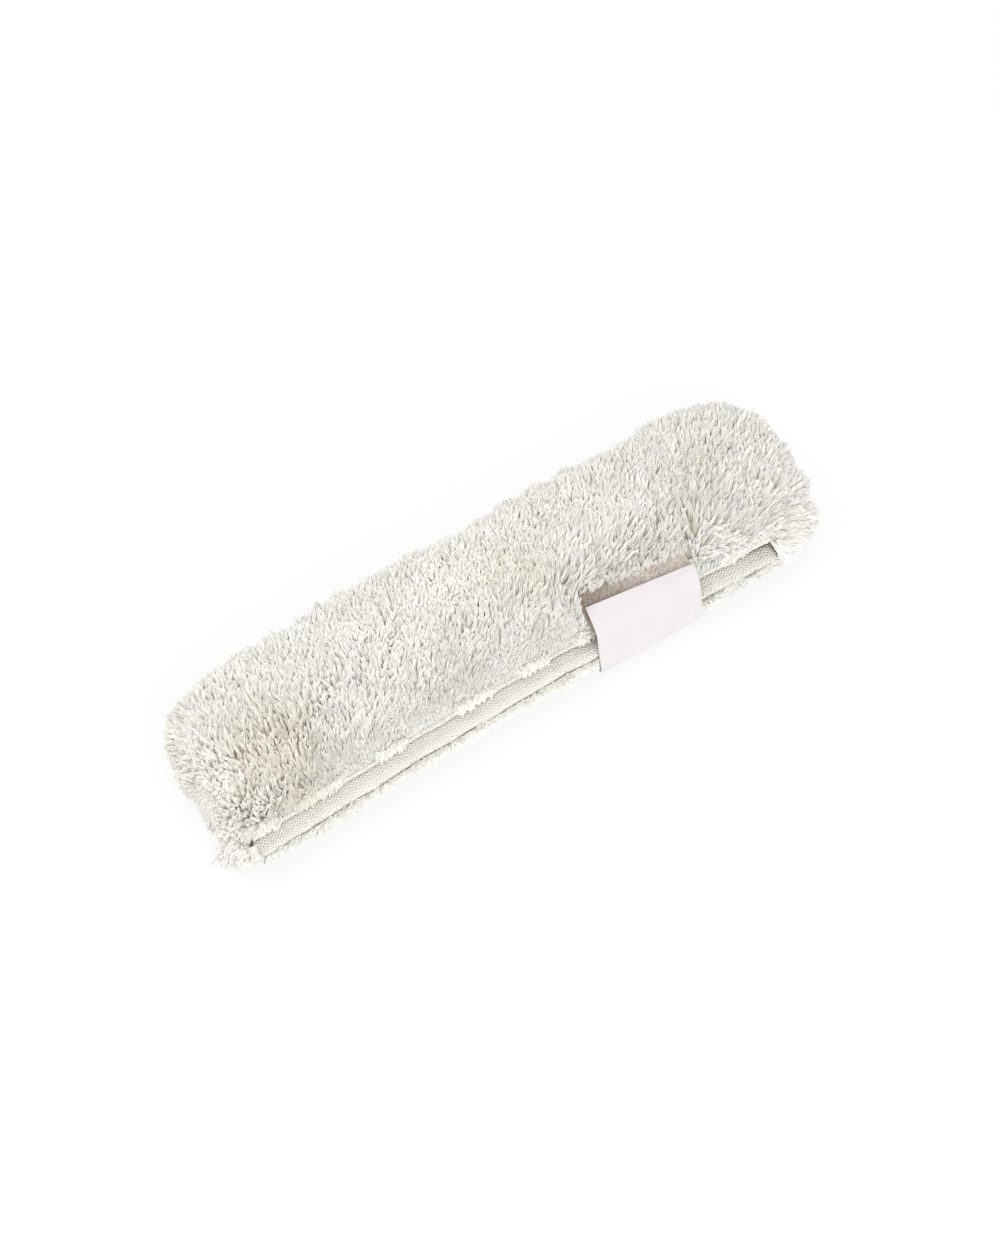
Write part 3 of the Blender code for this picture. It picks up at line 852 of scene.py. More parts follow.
def combed_direction(outside, normal, backward, rng):
    """Way the locks point: brushed up and back on top, flat above the mouth, up along the fringe."""
    x, y, z = outside.T
    puff = spot(outside, *PUFF)
    at_end = smooth((np.abs(x) - HALF_LENGTH + 25) / 25)
    combed = smooth((normal[:, 2] + 0.2) / 0.8) * (1 - 0.4 * at_end) * (1 - 0.6 * puff)
    under = smooth((8 - z) / 8)
    lean_back = 0.5 * hem_share(outside) - 0.9 * under
    lean_back = lean_back + uneven(outside, LEAN_BACK) + rng.normal(0, STRAY, len(x))
    lean_side = uneven(outside, LEAN_SIDE) + rng.normal(0, STRAY, len(x))
    sideways = unit(np.cross(backward, normal))
    direction = normal * (1 - 0.55 * combed)[:, None] + 0.9 * combed[:, None] * COMBED
    direction = direction + backward * lean_back[:, None] + sideways * lean_side[:, None]
    ruffle = np.stack([noise(outside, 9, seed) for seed in (31, 32, 33)], -1)
    direction = direction + (0.35 * puff)[:, None] * ruffle
    direction[:, 2] += 0.7 * in_fringe(outside) * smooth((z - 5) / 6) + 0.3 * edge_share(outside)
    corner = smooth(1 - np.abs(x - MOUTH_RIGHT - 2) / 8) * (z > 10) * (z < LIP_TOP + 5) * (y < bow(x) - 25)
    return unit(direction + corner[:, None] * np.array([-0.8, -0.2, -0.1]))


def combed_length(outside, length, lean):
    """Length of locks that lean, where lean is the share of it that stands upright."""
    edge = edge_share(outside)
    length = np.maximum(length, 3.6 * edge)
    flat = (1 - 0.3 * hem_share(outside)) * (1 - 0.25 * in_fringe(outside) * (1 - edge))
    return length * flat / np.clip(lean, 0.62, 1)


def close_on_strap(outside, direction, length, rng):
    """Lets the locks beside the strap lean to it. Also says which locks these are."""
    x, y = outside.T[:2]
    to_strap = beside_strap(outside)
    inwards = np.clip(to_strap - 1.2, 0, 5) / length * (1 - smooth((to_strap - 4) / 6))
    inwards = -np.sign(x - STRAP_CENTRE) * inwards
    beside = ((x < CHANNEL_LEFT) | (x > CHANNEL_RIGHT)) & (to_strap < 10) & (y < -12)
    direction[beside, 0] = inwards[beside] + 0.08 * rng.normal(size=beside.sum())
    return unit(direction), beside


def free_share(root, direction, bend, length, behind):
    """Share of each lock up to where it would enter the strap's channel."""
    steps = np.linspace(0.15, 1, 12)
    path = root[:, None] + lock_line(direction, bend, length, steps)
    limit = tip_limit(path[..., 0]) + 6.5 + 1.2 * noise(path, 9, 8)
    along, inward = TIP_RUN.place(path)
    over_patch = (behind > 0)[:, None] & (inward < 0.6) & (along > limit)
    blocked = in_channel(path, 0.5) & ~over_patch
    return np.where(blocked.any(1), steps[np.argmax(blocked, axis=1)] - 0.12, 1.0)


def pile_locks(rng):
    """Locks of cut pile all over the cover."""
    extra = [tuft_roots(rng) for _ in range(FRINGE_SETS)]
    extra = [places[in_fringe(cover(*places.T))] for places in extra]
    turn, around = np.concatenate([tuft_roots(rng), *extra]).T
    outside = cover(turn, around)
    keep = clear_of_mouth(outside) & (hem_share(outside) < rng.uniform(0.55, 1.0, len(outside)))
    turn, around, outside = pick(keep, turn, around, outside)
    root = beside_channel(cover(turn, around, depth=1.0))
    backward = backward_at(turn, around)
    reach = np.linalg.norm(outside - root, axis=1)
    normal = (outside - root) / reach[:, None]
    length = standing_length(outside, reach) * rng.uniform(0.9, 1.06, len(root))
    direction = combed_direction(outside, normal, backward, rng)
    length = combed_length(outside, length, (direction * normal).sum(1))

    between = (outside[:, 0] > CHANNEL_LEFT) & (outside[:, 0] < CHANNEL_RIGHT)
    behind = smooth(1 - from_channel(outside) / 8) * between * (outside[:, 1] > -22)
    direction = unit(direction + (0.3 * behind)[:, None] * np.array([0, -1.0, -0.1]))
    direction, length = part_pile(outside, direction, length, seam_path(-1), depth=0.15, lean=0.3)
    direction, length = part_pile(outside, direction, length, seam_path(1))
    direction, length = part_pile(outside, direction, length, parting_path(), 4, 0.35, 0.9)
    direction, beside = close_on_strap(outside, direction, length, rng)

    curl = unit(np.cross(direction, rng.normal(size=direction.shape)))
    bend = 0.22 * curl + np.array([0, 0, -0.12]) + 0.08 * backward
    bend[beside, 0] *= 0.2
    free = free_share(root, direction, bend, length, behind)
    keep = (free > 0.25) & ~in_cut_channel(root)
    length = length * np.clip(free, 0.2, 1)
    return lock_set(*pick(keep, root, direction, bend, length))


def in_cut_channel(points):
    """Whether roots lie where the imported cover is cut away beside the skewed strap."""
    between = (points[:, 0] > CHANNEL_LEFT) & (points[:, 0] < CHANNEL_RIGHT)
    return between & in_channel(points * [0, 1, 1] + [STRAP_CENTRE, 0, 0], 0.5)


def hem_roots(rng):
    """Turn and around of the fibres above the mouth, in rows from the lip's edge upwards."""
    angles = np.radians(np.linspace(180, 110, 400))
    section = cover(np.full(400, np.pi / 2), angles, 1.0)
    height = running_length(section)
    first = np.interp(LIP_TOP - 0.4, section[:, 2], height)
    places = []
    for turn in even_turns(int(440 / HEM_SPACING), 0.02):
        steps = np.arange(0, HEM + 5, HEM_SPACING) + rng.uniform(-0.4, 0.4)
        at = first + np.abs(steps + rng.normal(0, 0.2, len(steps)))
        places.append(np.stack([np.full(len(at), turn), np.interp(at, height, angles)], -1))
    return np.concatenate(places).T


def spill_share(root):
    """1 where the fibres spill over the lip's edge, in stretches and at the mouth's right end."""
    x, z = root[:, 0], root[:, 2]
    spill = noise(root * [1, 0, 0], 30, 44) + 0.5 * smooth((-100 - x) / 30)
    spill = spill + 1.5 * smooth((x - MOUTH_RIGHT + 16) / 12)
    return smooth((spill + 0.1) / 0.5) * smooth((LIP_TOP + 3.5 - z) / 2)


def hem_locks(rng):
    """Fine fibres pressed flat above the mouth, where the upper panel is turned over its edge."""
    turn, around = hem_roots(rng)
    root = cover(turn, around, 1.0)
    over_mouth = (root[:, 0] > MOUTH_LEFT - 3) & (root[:, 0] < MOUTH_RIGHT + 3)
    keep = (hem_share(cover(turn, around)) > 0.15) & ~in_cut_channel(root) & over_mouth
    turn, around, root = pick(keep, turn, around, root)
    count = len(root)
    backward = backward_at(turn, around)
    normal = unit(cover(turn, around) - root)
    sideways = np.cross(backward, normal)
    lift = 0.3 + 0.12 * noise(root, 12, 42)
    sway = 0.22 * noise(root, 15, 43) + rng.normal(0, 0.18, count)
    spill = spill_share(root)
    direction = backward * (1 - 1.7 * spill)[:, None] + normal * (lift + 0.35 * spill)[:, None]
    direction = unit(direction + sideways * sway[:, None])
    length = rng.uniform(4.0, 7.0, count) * (1 - 0.25 * spill)
    bend = -0.12 * normal + 0.1 * unit(np.cross(direction, rng.normal(size=(count, 3))))
    keep = ~in_channel(root + direction * length[:, None], 0.4)
    return lock_set(*pick(keep, root, direction, bend, length), HEM_GIRTH, 0.5)


def top_height(points):
    """Height of the cover's outside above points in front of its middle."""
    y = points[:, 1] - bow(points[:, 0])
    y = np.maximum(y - LIP_SETBACK, y / (1 + 2 * LIP_SETBACK / FRONT))
    share = np.clip(np.abs(y) / (WIDTH / 2), 0, 1)
    return WIDEST_AT + (HEIGHT - WIDEST_AT) * (1 - share ** TOP_ROUNDNESS) ** (1 / TOP_ROUNDNESS)


def filler_locks(rng):
    """Locks in the channel that the skewed strap leaves open, and over the patch behind the strap's tip."""
    reach = FRONT_RUN.length + PATCH_END + 3
    count = int((CHANNEL_RIGHT - CHANNEL_LEFT) * reach / TUFT_SPACING ** 2 * FILL)
    x = rng.uniform(CHANNEL_LEFT - 1, CHANNEL_RIGHT + 1, count)
    along = rng.uniform(0, reach, count) - FRONT_RUN.length
    front = along < 0
    root = np.where(front[:, None], on_run(FRONT_RUN, x, along + FRONT_RUN.length, FILL_DEPTH),
                    on_tip(x, along, PATCH_TOP))
    own = x - path_drift(FRONT_RUN.length + along)
    behind = along - tip_limit(own) - PATCH_SHOWN - 0.9 * noise(root, 9, 61)
    side = beside_strap(root)
    keep = ((side > 1.3) | (behind > 0)) & (root[:, 2] > LIP_TOP + 2)
    root, behind, side, front, own = pick(keep, root, behind, side, front, own)
    count = len(root)
    outward = -np.where(front[:, None], [0, *FRONT_RUN.inward], [0, *TIP_RUN.inward])
    direction = 0.8 * outward + 0.5 * COMBED + rng.normal(0, 0.1, (count, 3))
    left = (own < STRAP_CENTRE) & (side > 0)
    direction[left, 0] = -0.05
    length = np.where(behind > 0, 5 + 1.3 * behind, 6 + np.clip(side, 0, 5))
    length = np.minimum(length, np.maximum(top_height(root) + PROUD - root[:, 2], 4))
    length = length * rng.uniform(0.9, 1.1, count)
    bend = 0.15 * rng.normal(size=(count, 3)) + np.array([0, 0, -0.1])
    bend[left, 0] = 0
    return lock_set(root, unit(direction), bend, length)


def ledge_locks(rng):
    """Short locks on the edge of the lower panel, which stand up in front of the lower tape."""
    count = int((MOUTH_RIGHT - MOUTH_LEFT) * LEDGE_LOCKS)
    x = rng.uniform(MOUTH_LEFT + 2, MOUTH_RIGHT - 2, count)
    y = bow(x) + LOWER_LIP + rng.uniform(-LEDGE_DEPTH, 0, count)
    root = np.stack([x, y, np.full(count, LEDGE_HEIGHT)], -1)
    root = root[np.abs(x - STRAP_CENTRE) > STRAP_WIDTH / 2 + 4]
    count = len(root)
    direction = unit(np.array([0.1, -0.4, 0.85]) + rng.normal(0, 0.2, (count, 3)))
    length = rng.uniform(2.2, 3.4, count) * (1 + 0.25 * noise(root * [1, 0, 0], 21, 51))
    bend = np.array([0, -0.15, 0]) + rng.normal(0, 0.12, (count, 3))
    return lock_set(root, direction, bend, length, LEDGE_GIRTH, 0.3)


def lock_strand(number, locks, side, up, turn, rng):
    """Centres and radii of one strand of each lock: strand 0 is its middle, the others stand round it."""
    root, direction, bend, length, girth, _ = locks
    count = len(root)
    outer = number > 0
    angle = turn + 2 * np.pi * number / (STRANDS - 1)
    spread = girth * (rng.uniform(0.7, 1.2, count) if outer else np.zeros(count))
    offset = (side * np.cos(angle)[:, None] + up * np.sin(angle)[:, None]) * spread[:, None]
    gather = 1 - 0.35 * STRAND_SHARES ** 1.5
    reach = length * (rng.uniform(0.76, 0.98, count) if outer else 1)
    sway = unit(np.cross(direction, rng.normal(size=(count, 3))))
    sway = sway * (girth * rng.uniform(0.1, 0.35, count))[:, None]
    centres = root[:, None] + offset[:, None] * gather[:, None]
    centres = centres + lock_line(direction, bend, reach, STRAND_SHARES)
    centres = centres + sway[:, None] * np.sin(STRAND_SHARES * np.pi * 1.6)[:, None]
    thick = girth * rng.uniform(0.85, 1.15, count) * (OUTER_GIRTH if outer else MIDDLE_GIRTH)
    return centres, thick[:, None] * STRAND_PROFILE


def lock_skin(centres, radii, side, up, sky):
    """Points, faces and normals of strands. Their shading turns towards sky."""
    centres = droop(centres)
    centres[..., 2] = np.maximum(centres[..., 2], radii * 0.9 + 0.05)
    points, faces = strands(centres, radii, side, up, STRAND_SIDES)
    radial = unit(points.reshape(*radii.shape, STRAND_SIDES, 3) - centres[:, :, None])
    return points, faces, unit(radial + SOFTNESS * sky[:, None, None]).reshape(-1, 3)


def lock_fields(tone, paleness):
    """UV and fields of the points of strands: the UV follows from the fields."""
    # paleness skips part of a lock's painted root shade
    shares = paleness[:, None] + (1 - paleness[:, None]) * STRAND_SHARES
    along = np.repeat(shares.ravel(), STRAND_SIDES)
    tone = np.repeat(tone, STRAND_SIDES * len(STRAND_SHARES))
    corner = np.tile(np.arange(STRAND_SIDES), shares.size)
    uv = np.stack([0.02 + 0.93 * tone + 0.01 * corner, 0.02 + 0.96 * along], -1)
    return uv, {"along": along, "tone": tone}


def grow_tufts(finish):
    """All locks and fibres of the cover, in pieces from left to right."""
    rng = np.random.default_rng(SEED)
    sets = pile_locks(rng), hem_locks(rng), filler_locks(rng), ledge_locks(rng)
    locks = [np.concatenate(parts) for parts in zip(*sets)]
    root, direction, paleness = locks[0], locks[1], locks[-1]
    side = unit(np.cross(direction, rng.normal(size=root.shape)))
    up = np.cross(direction, side)
    # painted shade (positive) and painted light (negative) from the shading zones, added to each lock's
    # tone
    painted_shading = sum(amount * spot(root, *zone) for *zone, amount in PAINTED_SHADING_ZONES)
    tone = 0.22 + 0.15 * noise(root, 30, 9) + painted_shading + rng.normal(0, 0.12, len(root))
    tone = np.clip(tone, 0, 1)
    turn = rng.uniform(0, 2 * np.pi, len(root))
    parts = [lock_strand(number, locks, side, up, turn, rng) for number in range(STRANDS)]
    for number, chosen in enumerate(np.array_split(np.argsort(root[:, 0]), TUFT_PIECES)):
        centres, radii = (np.concatenate([values[chosen] for values in kind]) for kind in zip(*parts))
        rows = np.tile(chosen, STRANDS)
        points, faces, normals = lock_skin(centres, radii, side[rows], up[rows], direction[rows] + SKYWARD)
        uv, fields = lock_fields(tone[rows], paleness[rows])
        name = f"pile_tufts_{number + 1:02d}"
        piece = mesh_object(name, points, faces, finish, uv, fields, "OFBake", normals=normals)
        sleeve_piece(piece, "pile")


def spaced(start, end, step):
    return np.linspace(start, end, int((end - start) / step) + 1)


def stitches(first, last, pitch, length):
    """Places along each stitch of a row, and how far it arches there, from 0 to 1."""
    share = np.linspace(0, 1, ARC_POINTS)
    along = np.arange(first, last, pitch)[:, None] + length * share
    return along, np.broadcast_to(np.sin(np.pi * share), along.shape)


def sleeve_grid(x, outline):
    """Grid of a sheet that follows one outline in the YZ plane along the bowed sleeve."""
    grid = np.zeros((len(x), len(outline), 3))
    grid[..., 0] = x[:, None]
    grid[..., 1] = outline[:, 0] + bow(x)[:, None]
    grid[..., 2] = outline[:, 1]
    return grid


def lining_outline(low, high):
    """Floor, back fold and ceiling of the lining, and how many of its points are the floor's."""
    front_low, front_high = LOWER_LIP + FOLD_MIDDLE + 0.6, UPPER_LIP + FOLD_MIDDLE + 1.0
    fold_start = POCKET_BACK + CLOTH / 2 - LINING_FOLD
    floor = [(y, low) for y in np.linspace(front_low, fold_start, 28)]
    fold = [(fold_start + LINING_FOLD * math.sin(a), (low + high) / 2 - (high - low) / 2 * math.cos(a))
            for a in np.linspace(0, math.pi, 12)[1:-1]]
    share = np.linspace(1, 0, 28)
    lift = (POCKET_HEIGHT - MOUTH_GAP) * np.sin(np.pi * share) ** 0.8 * (share > 0) * (share < 1)
    ceiling = [(front_high + (fold_start - front_high) * s, high + rise) for s, rise in zip(share, lift)]
    return np.array(floor + fold + ceiling), len(floor)


def make_lining(finish):
    """Lining of the pocket, drawn together at both ends."""
    ends = LINING_TAPER * (1 - np.sin(np.linspace(0.2, 1.5, 7)))
    middle = spaced(POCKET_LEFT + LINING_TAPER, POCKET_RIGHT - LINING_TAPER, 3.5)
    x = np.concatenate([POCKET_LEFT + ends[::-1], middle, POCKET_RIGHT - ends])
    to_end = np.minimum(x - POCKET_LEFT, POCKET_RIGHT - x)
    closing = np.clip((LINING_TAPER - to_end) / (LINING_TAPER + 0.3), 0, 1)
    share = np.sqrt(np.clip(1 - closing ** 2, 0, 1))[:, None]
    low, high = POCKET_FLOOR - CLOTH / 2, CEILING + CLOTH / 2
    outline, floor_points = lining_outline(low, high)
    grid = sleeve_grid(x, outline)
    grid[..., 2] = low + 0.75 + (grid[..., 2] - low - 0.75) * share
    wrinkle = noise(grid, 18, 21) * 0.35 * smooth((grid[..., 1] - bow(x)[:, None] + 36) / 12)
    grid[..., 2] -= np.abs(wrinkle) * np.where(np.arange(len(outline)) > floor_points + 5, 1, -1)
    piece = cloth("pocket_lining", droop(grid), CLOTH * 0.8, finish)
    return sleeve_piece(piece, "backing", "backing_cloth")


def tape_outline(fold, middle, inner_side):
    """Middle line of a folded tape: fold is its front, inner_side 1 where the long leg is on top."""
    centre = fold + FOLD_MIDDLE + TAPE / 2
    inner = [(y, middle + inner_side * FOLD_MIDDLE) for y in np.linspace(fold + TAPE_INNER_LEG, centre, 9)]
    outer = [(y, middle - inner_side * FOLD_MIDDLE) for y in np.linspace(centre, fold + TAPE_OUTER_LEG, 7)]
    turns = np.linspace(0, math.pi, 11)[1:-1]
    arc = [(centre - FOLD_MIDDLE * math.sin(a), middle + inner_side * FOLD_MIDDLE * math.cos(a))
           for a in turns]
    return np.array(inner + arc + outer)


def make_tape(word, fold, middle, inner_side, finish, thread):
    """Binding tape folded over one lip, with its row of stitches."""
    start, end = MOUTH_LEFT + TAPE_END_INSET, MOUTH_RIGHT - TAPE_END_INSET
    outline = tape_outline(fold, middle, inner_side)
    grid = sleeve_grid(spaced(start, end, 2.0), outline)
    leg = np.abs(outline[:, 0] - fold) / TAPE_INNER_LEG
    ripple = noise(grid * [1, 0, 0], 11, 31) * 0.12 * leg
    grid[..., 1] += noise(grid * [1, 0, 0], 24, 32) * 0.3
    grid[..., 2] += inner_side * np.abs(ripple)
    piece = cloth(f"{word}_lip_tape", droop(grid), TAPE * 0.85, finish)
    sleeve_piece(piece, "binding", f"{word}_binding_tape")

    row_z = middle + inner_side * (FOLD_MIDDLE + TAPE / 2 + 0.12)
    along, arch = stitches(start + 2, end - 4, 3.1, 3.1 * 0.86)
    height = row_z + inner_side * (0.34 * arch - 0.2)
    paths = np.stack([along, fold + STITCH_INSET + bow(along), height], -1)
    row = tubes(f"{word}_lip_stitches", droop(paths), THREAD / 2, thread, (0, 0, 1))
    sleeve_piece(row, "thread", f"{word}_tape_stitching")


def make_tack(word, x, width, thread):
    """Bar tack: close zigzag stitches that hold one end of the mouth shut."""
    low = np.array([LOWER_LIP - 0.9 - width / 4, POCKET_FLOOR - CLOTH - 0.6])
    high = np.array([UPPER_LIP - 0.9 - width / 4, CEILING + CLOTH + 0.6])
    done, arch = stitches(0, TACK_PASSES, 1, 0.8)
    y, z = np.moveaxis(low + (high - low) * done[..., None] / TACK_PASSES, -1, 0)
    way = np.where(np.arange(TACK_PASSES) % 2, 1, -1)[:, None]
    across = x + way * width * np.linspace(-0.5, 0.5, ARC_POINTS)
    paths = np.stack([across, y + bow(across) - 0.35 * arch, z + 0.07 * arch], -1)
    piece = tubes(f"{word}_tack", droop(paths), TACK_THREAD, thread, (0, -0.9, 0.4))
    return sleeve_piece(piece, "thread", f"{word}_bar_tack")


def make_seam(word, side, thread):
    """Overcast stitches along the seam that closes one end, deep in the parted pile."""
    path = seam_path(side)
    centre = np.stack([path[:, 0] * 0, bow(path[:, 0]), np.full(len(path), WIDEST_AT)], -1)
    inside = path + unit(centre + [side * 130, 0, 0] - path) * SEAM_DEPTH
    length = running_length(inside)
    place, arch = stitches(0.5, length[-1] - 2, 1.5, 1.9)
    paths = np.stack([np.interp(place, length, inside[:, k]) for k in range(3)], -1)
    sway = np.broadcast_to(np.linspace(-0.8, 0.8, ARC_POINTS), place.shape)
    paths = paths + np.stack([sway, sway * 0.2, 0.5 * arch], -1)
    piece = tubes(f"{word}_seam_thread", paths, SEAM_THREAD, thread, (0, 0.3, 1))
    return sleeve_piece(piece, "thread", f"{word}_end_seam")


def tip_limit(x):
    """Length of the strap's tip at x: its end is cut askew."""
    share = np.clip((x - STRAP_CENTRE) / STRAP_WIDTH + 0.5, 0, 1)
    return TIP_LEFT + (TIP_RIGHT - TIP_LEFT) * share


def strap_sides():
    """Places across the strap, closer together at its two sides."""
    inset = np.array([0, 0.2, 0.6])
    x = np.concatenate([inset, np.linspace(1.6, STRAP_WIDTH - 1.6, 32), STRAP_WIDTH - inset[::-1]])
    return STRAP_CENTRE - STRAP_WIDTH / 2 + x


def rounded_corner(before, corner, after, radius, steps=9):
    """Points of an arc that rounds a corner between two straight runs."""
    a, b = unit(np.subtract(before, corner)), unit(np.subtract(after, corner))
    half = math.acos(float(np.dot(a, b))) / 2
    centre = np.array(corner) + unit(a + b) * radius / math.sin(half)
    start = np.array(corner) + a * radius / math.tan(half) - centre
    end = np.array(corner) + b * radius / math.tan(half) - centre
    turn = math.pi - 2 * half
    share = np.linspace(0, 1, steps)[:, None]
    return centre + (np.sin((1 - share) * turn) * start + np.sin(share * turn) * end) / math.sin(turn)


def strap_grid(x, line, path):
    """Grid of a stretch of the strap, which drifts to the right with its path above the fold."""
    grid = np.zeros((len(x), len(line), 3))
    grid[..., 0] = x[:, None] + path_drift(path)
    grid[..., 1:] = line
    return grid


def waver(grid, amount):
    """Lets cloth waver a little across its surface."""
    return grid + grid_normals(grid) * (amount * noise(grid, 46, 51))[..., None]


def straight(start, end, count):
    return np.linspace(0, 1, count)[:, None] * np.subtract(end, start) + start


def lower_strap(x):
    """Strap from its root round the lower fold to the middle of its front."""
    arc = rounded_corner(ROOT, FOLD, STRAP_MIDDLE, FOLD_RADIUS)
    line = [straight(ROOT, arc[0], 14)[:-1], arc, straight(arc[-1], STRAP_MIDDLE, 8)[1:]]
    line = np.concatenate(line)
    length = running_length(line)
    return strap_grid(x, line, length - length[-1] + FRONT_RUN.length / 2)


def upper_strap(x):
    """Strap from the middle of its front round the upper fold to the slanting end of its tip."""
    arc = rounded_corner(STRAP_MIDDLE, BEND, TIP_END, BEND_RADIUS)
    line = np.concatenate([straight(STRAP_MIDDLE, arc[0], 8)[:-1], arc])
    front = strap_grid(x, line, FRONT_RUN.length / 2 + running_length(line))
    tangent = float(np.dot(arc[-1] - np.array(BEND), TIP_RUN.along))
    share = np.concatenate([np.linspace(0, 0.9, 9)[1:], [0.95, 0.98, 1.0]])
    along = tangent + (tip_limit(x) - tangent)[:, None] * share
    tip = on_tip(x[:, None] + path_drift(FRONT_RUN.length + along), along, 0)
    return np.concatenate([front, tip], 1)


def make_strap(webbing, thread):
    """Strap in two pieces that meet on its front: each bends over one fold."""
    x = strap_sides()
    lower = cloth("strap_lower", waver(lower_strap(x), 0.25), STRAP, webbing, full=(False, True))
    upper = cloth("strap_upper", waver(upper_strap(x), 0.25), STRAP, webbing, full=(True, False))
    finish_strap("strap_root", "strap_front")
    finish_strap("strap_tip", None)
    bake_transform(lower)
    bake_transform(upper)
    row_y = ROOT[0] - STITCH_INSET
    row_z = ROOT[1] - STITCH_INSET * ROOT_RISE / ROOT_REACH - STRAP / 2 - 0.05
    across, arch = stitches(*STRAP_STITCHES)
    paths = np.stack([STRAP_CENTRE + across, np.full_like(across, row_y), row_z - 0.3 * arch + 0.15], -1)
    row = tubes("strap_root_stitches", paths, THREAD / 2, thread, (0, 0, -1))
    sleeve_piece(row, "thread", "strap_root_stitching")


def finish_strap(node, other):
    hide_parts(*[name for name in (node, other) if name])


def patch_loops(rng):
    """Centres of the rings of the patch's brushed loops, and the two axes of each loop's thickness."""
    x = PATCH_CENTRE + rng.uniform(-0.5, 0.5, LOOPS) * (STRAP_WIDTH - 1.2)
    along = rng.uniform(PATCH_START + 0.4, PATCH_END - 0.4, LOOPS)
    turn = rng.uniform(0, 2 * np.pi, LOOPS)
    width = rng.uniform(0.5, 1.1, LOOPS)
    height = rng.uniform(0.4, 0.8, LOOPS)
    share = np.linspace(0, 1, 5)
    swing = (share - 0.5) * width[:, None]
    rise = np.sin(np.pi * share) * height[:, None]
    x = x[:, None] + swing * np.cos(turn)[:, None]
    along = along[:, None] + swing * np.sin(turn)[:, None]
    side = np.stack([-np.sin(turn), np.cos(turn) * TIP_RUN.along[0], np.cos(turn) * TIP_RUN.along[1]], -1)
    up = np.broadcast_to([0, *(-TIP_RUN.inward)], side.shape)
    return on_tip(x, along, PATCH_TOP + 0.62 - rise), side, up


def make_patch(finish, thread):
    """Loop patch under the strap's tip: a cloth with thousands of small brushed loops."""
    x = strap_sides() + PATCH_CENTRE - STRAP_CENTRE
    x, along = np.broadcast_arrays(x[:, None], np.linspace(PATCH_START, PATCH_END, 24))
    ground = cloth("loop_patch_cloth", on_tip(x, along, PATCH_TOP + 0.75), 0.5, finish)
    sleeve_piece(ground, "loop", "loop_patch")
    centres, side, up = patch_loops(np.random.default_rng(SEED + 1))
    points, faces = strands(centres, np.full(centres.shape[:2], LOOP_THICK), side, up)
    loops = mesh_object("loop_patch_loops", points, faces, finish)
    sleeve_piece(loops, "loop")
    across, arch = stitches(*STRAP_STITCHES)
    row_at = np.full_like(across, PATCH_END - 1.2)
    paths = on_tip(PATCH_CENTRE + across, row_at, PATCH_TOP + 0.35 * (1 - arch))
    row = tubes("loop_patch_stitches", paths, THREAD / 2, thread, (0, 0, 1))
    sleeve_piece(row, "thread", "loop_patch_stitching")


def make_hooks(finish):
    """Hooks on the inner side of the strap's tip, in rows beside its edge."""
    x = STRAP_CENTRE + np.linspace(-0.5, 0.5, HOOK_COLUMNS)[:, None] * (STRAP_WIDTH - 7)
    along = tip_limit(x) - 1.4 - np.arange(HOOK_ROWS)
    x = (x + path_drift(FRONT_RUN.length + along)).ravel()
    share = np.linspace(0, 1, 7)
    rise = 0.95 * np.sin(np.pi * 0.62 * share)
    along = along.ravel()[:, None] - 0.42 * (1 - np.cos(np.pi * 0.8 * share))
    centres = on_tip(np.broadcast_to(x[:, None], along.shape), along, HOOK_TOP - 0.45 + rise)
    side = np.broadcast_to([1.0, 0, 0], (len(x), 3))
    up = np.broadcast_to([0, *TIP_RUN.along], (len(x), 3))
    points, faces = strands(centres, np.full(centres.shape[:2], HOOK_THICK), side, up, 5)
    piece = mesh_object("strap_tip_hooks", points, faces, finish)
    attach(piece, "strap_end")
    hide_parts("hook_field")


def make_floor():
    """White floor, which the camera sees nearly as plain white and which still takes light and shadow."""
    bpy.ops.mesh.primitive_plane_add(size=FLOOR_SIZE, location=(0, 0, -0.0003))
    floor = bpy.context.object
    floor.name = "floor"
    finish = bpy.data.materials.new("white_floor")
    finish.use_nodes = True
    tree = finish.node_tree
    tree.nodes.clear()
    seen = add_node(tree, "LightPath").outputs["Is Camera Ray"]
    share = add_node(tree, "Math", {0: seen, 1: FLOOR_GLOW}, operation="MULTIPLY")
    diffuse = add_node(tree, "BsdfDiffuse", {"Color": (0.9, 0.9, 0.9, 1)})
    glow = add_node(tree, "Emission")
    mix = add_node(tree, "MixShader", {0: share.outputs[0], 1: diffuse.outputs[0], 2: glow.outputs[0]})
    add_node(tree, "OutputMaterial", {0: mix.outputs[0]})
    floor.data.materials.append(finish)


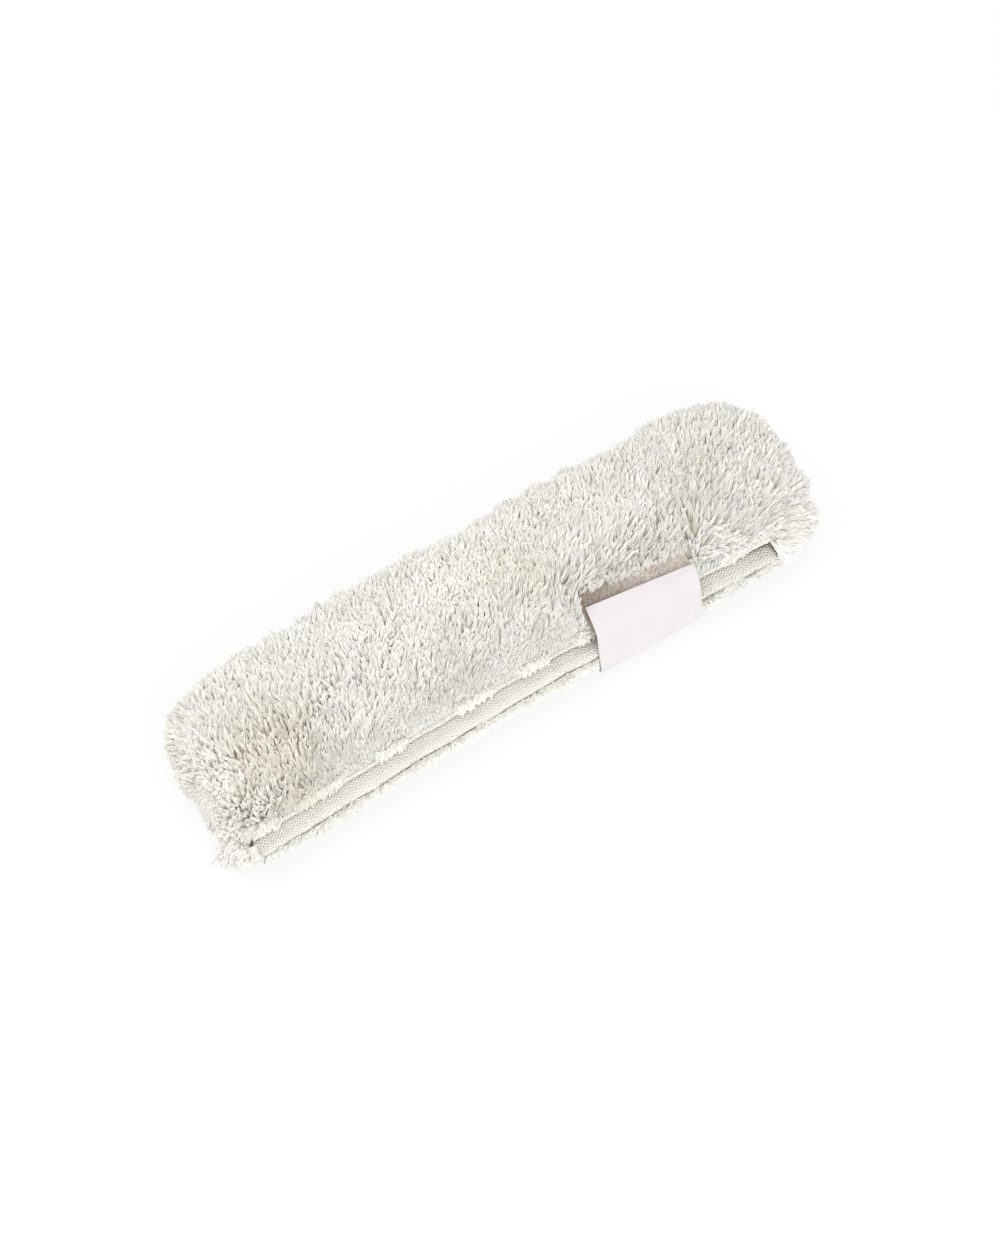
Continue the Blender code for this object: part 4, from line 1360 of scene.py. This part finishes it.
def area_light(name, place, size, power):
    data = bpy.data.lights.new(name, "AREA")
    data.shape = "DISK"
    data.size = size
    data.energy = power
    lamp = add_object(name, data)
    lamp.location = place
    lamp.rotation_euler = (-Vector(place)).to_track_quat("-Z", "Y").to_euler()


def make_light():
    world = bpy.data.worlds.new("studio")
    world.use_nodes = True
    background = world.node_tree.nodes["Background"]
    background.inputs["Color"].default_value = (1, 1, 1, 1)
    background.inputs["Strength"].default_value = SKY
    bpy.context.scene.world = world
    area_light("key", (-0.75, 0.85, 1.5), 0.7, 6.2)
    area_light("fill", (-0.2, -1.4, 1.0), 1.2, 10)


def make_camera():
    azimuth, elevation = math.radians(VIEW_AZIMUTH), math.radians(VIEW_ELEVATION)
    back = Vector((math.sin(azimuth) * math.cos(elevation), -math.cos(azimuth) * math.cos(elevation),
                   math.sin(elevation)))
    right = Vector((math.cos(azimuth), math.sin(azimuth), 0))
    up = back.cross(right)
    target = Vector((0, 0, 20)) + right * VIEW_RIGHT + up * VIEW_UP
    data = bpy.data.cameras.new("camera")
    data.sensor_width = SENSOR
    data.lens = SENSOR * CAMERA_DISTANCE / VIEW_HEIGHT
    data.clip_end = 100
    camera = add_object("camera", data)
    camera.location = (target + back * CAMERA_DISTANCE) * MM
    camera.rotation_euler = back.to_track_quat("Z", "Y").to_euler()
    bpy.context.scene.camera = camera
    bpy.context.scene.view_settings.view_transform = "Standard"


def build():
    make_camera()
    make_light()
    make_floor()
    thread = thread_finish()
    tape = tape_finish()
    make_ground(ground_finish())
    grow_tufts(pile_finish())
    make_lining(knit_finish())
    make_tape("lower", LOWER_LIP, LOWER_TAPE_HEIGHT, 1, tape, thread)
    make_tape("upper", UPPER_LIP, UPPER_TAPE_HEIGHT, -1, tape, thread)
    make_tack("left", MOUTH_LEFT - 0.75, LEFT_TACK, thread)
    make_tack("right", MOUTH_RIGHT + 0.75, RIGHT_TACK, thread)
    make_seam("left", -1, thread)
    make_seam("right", 1, thread)
    make_patch(loop_finish(), thread)
    make_strap(webbing_finish(), thread)
    make_hooks(hook_finish())


build()
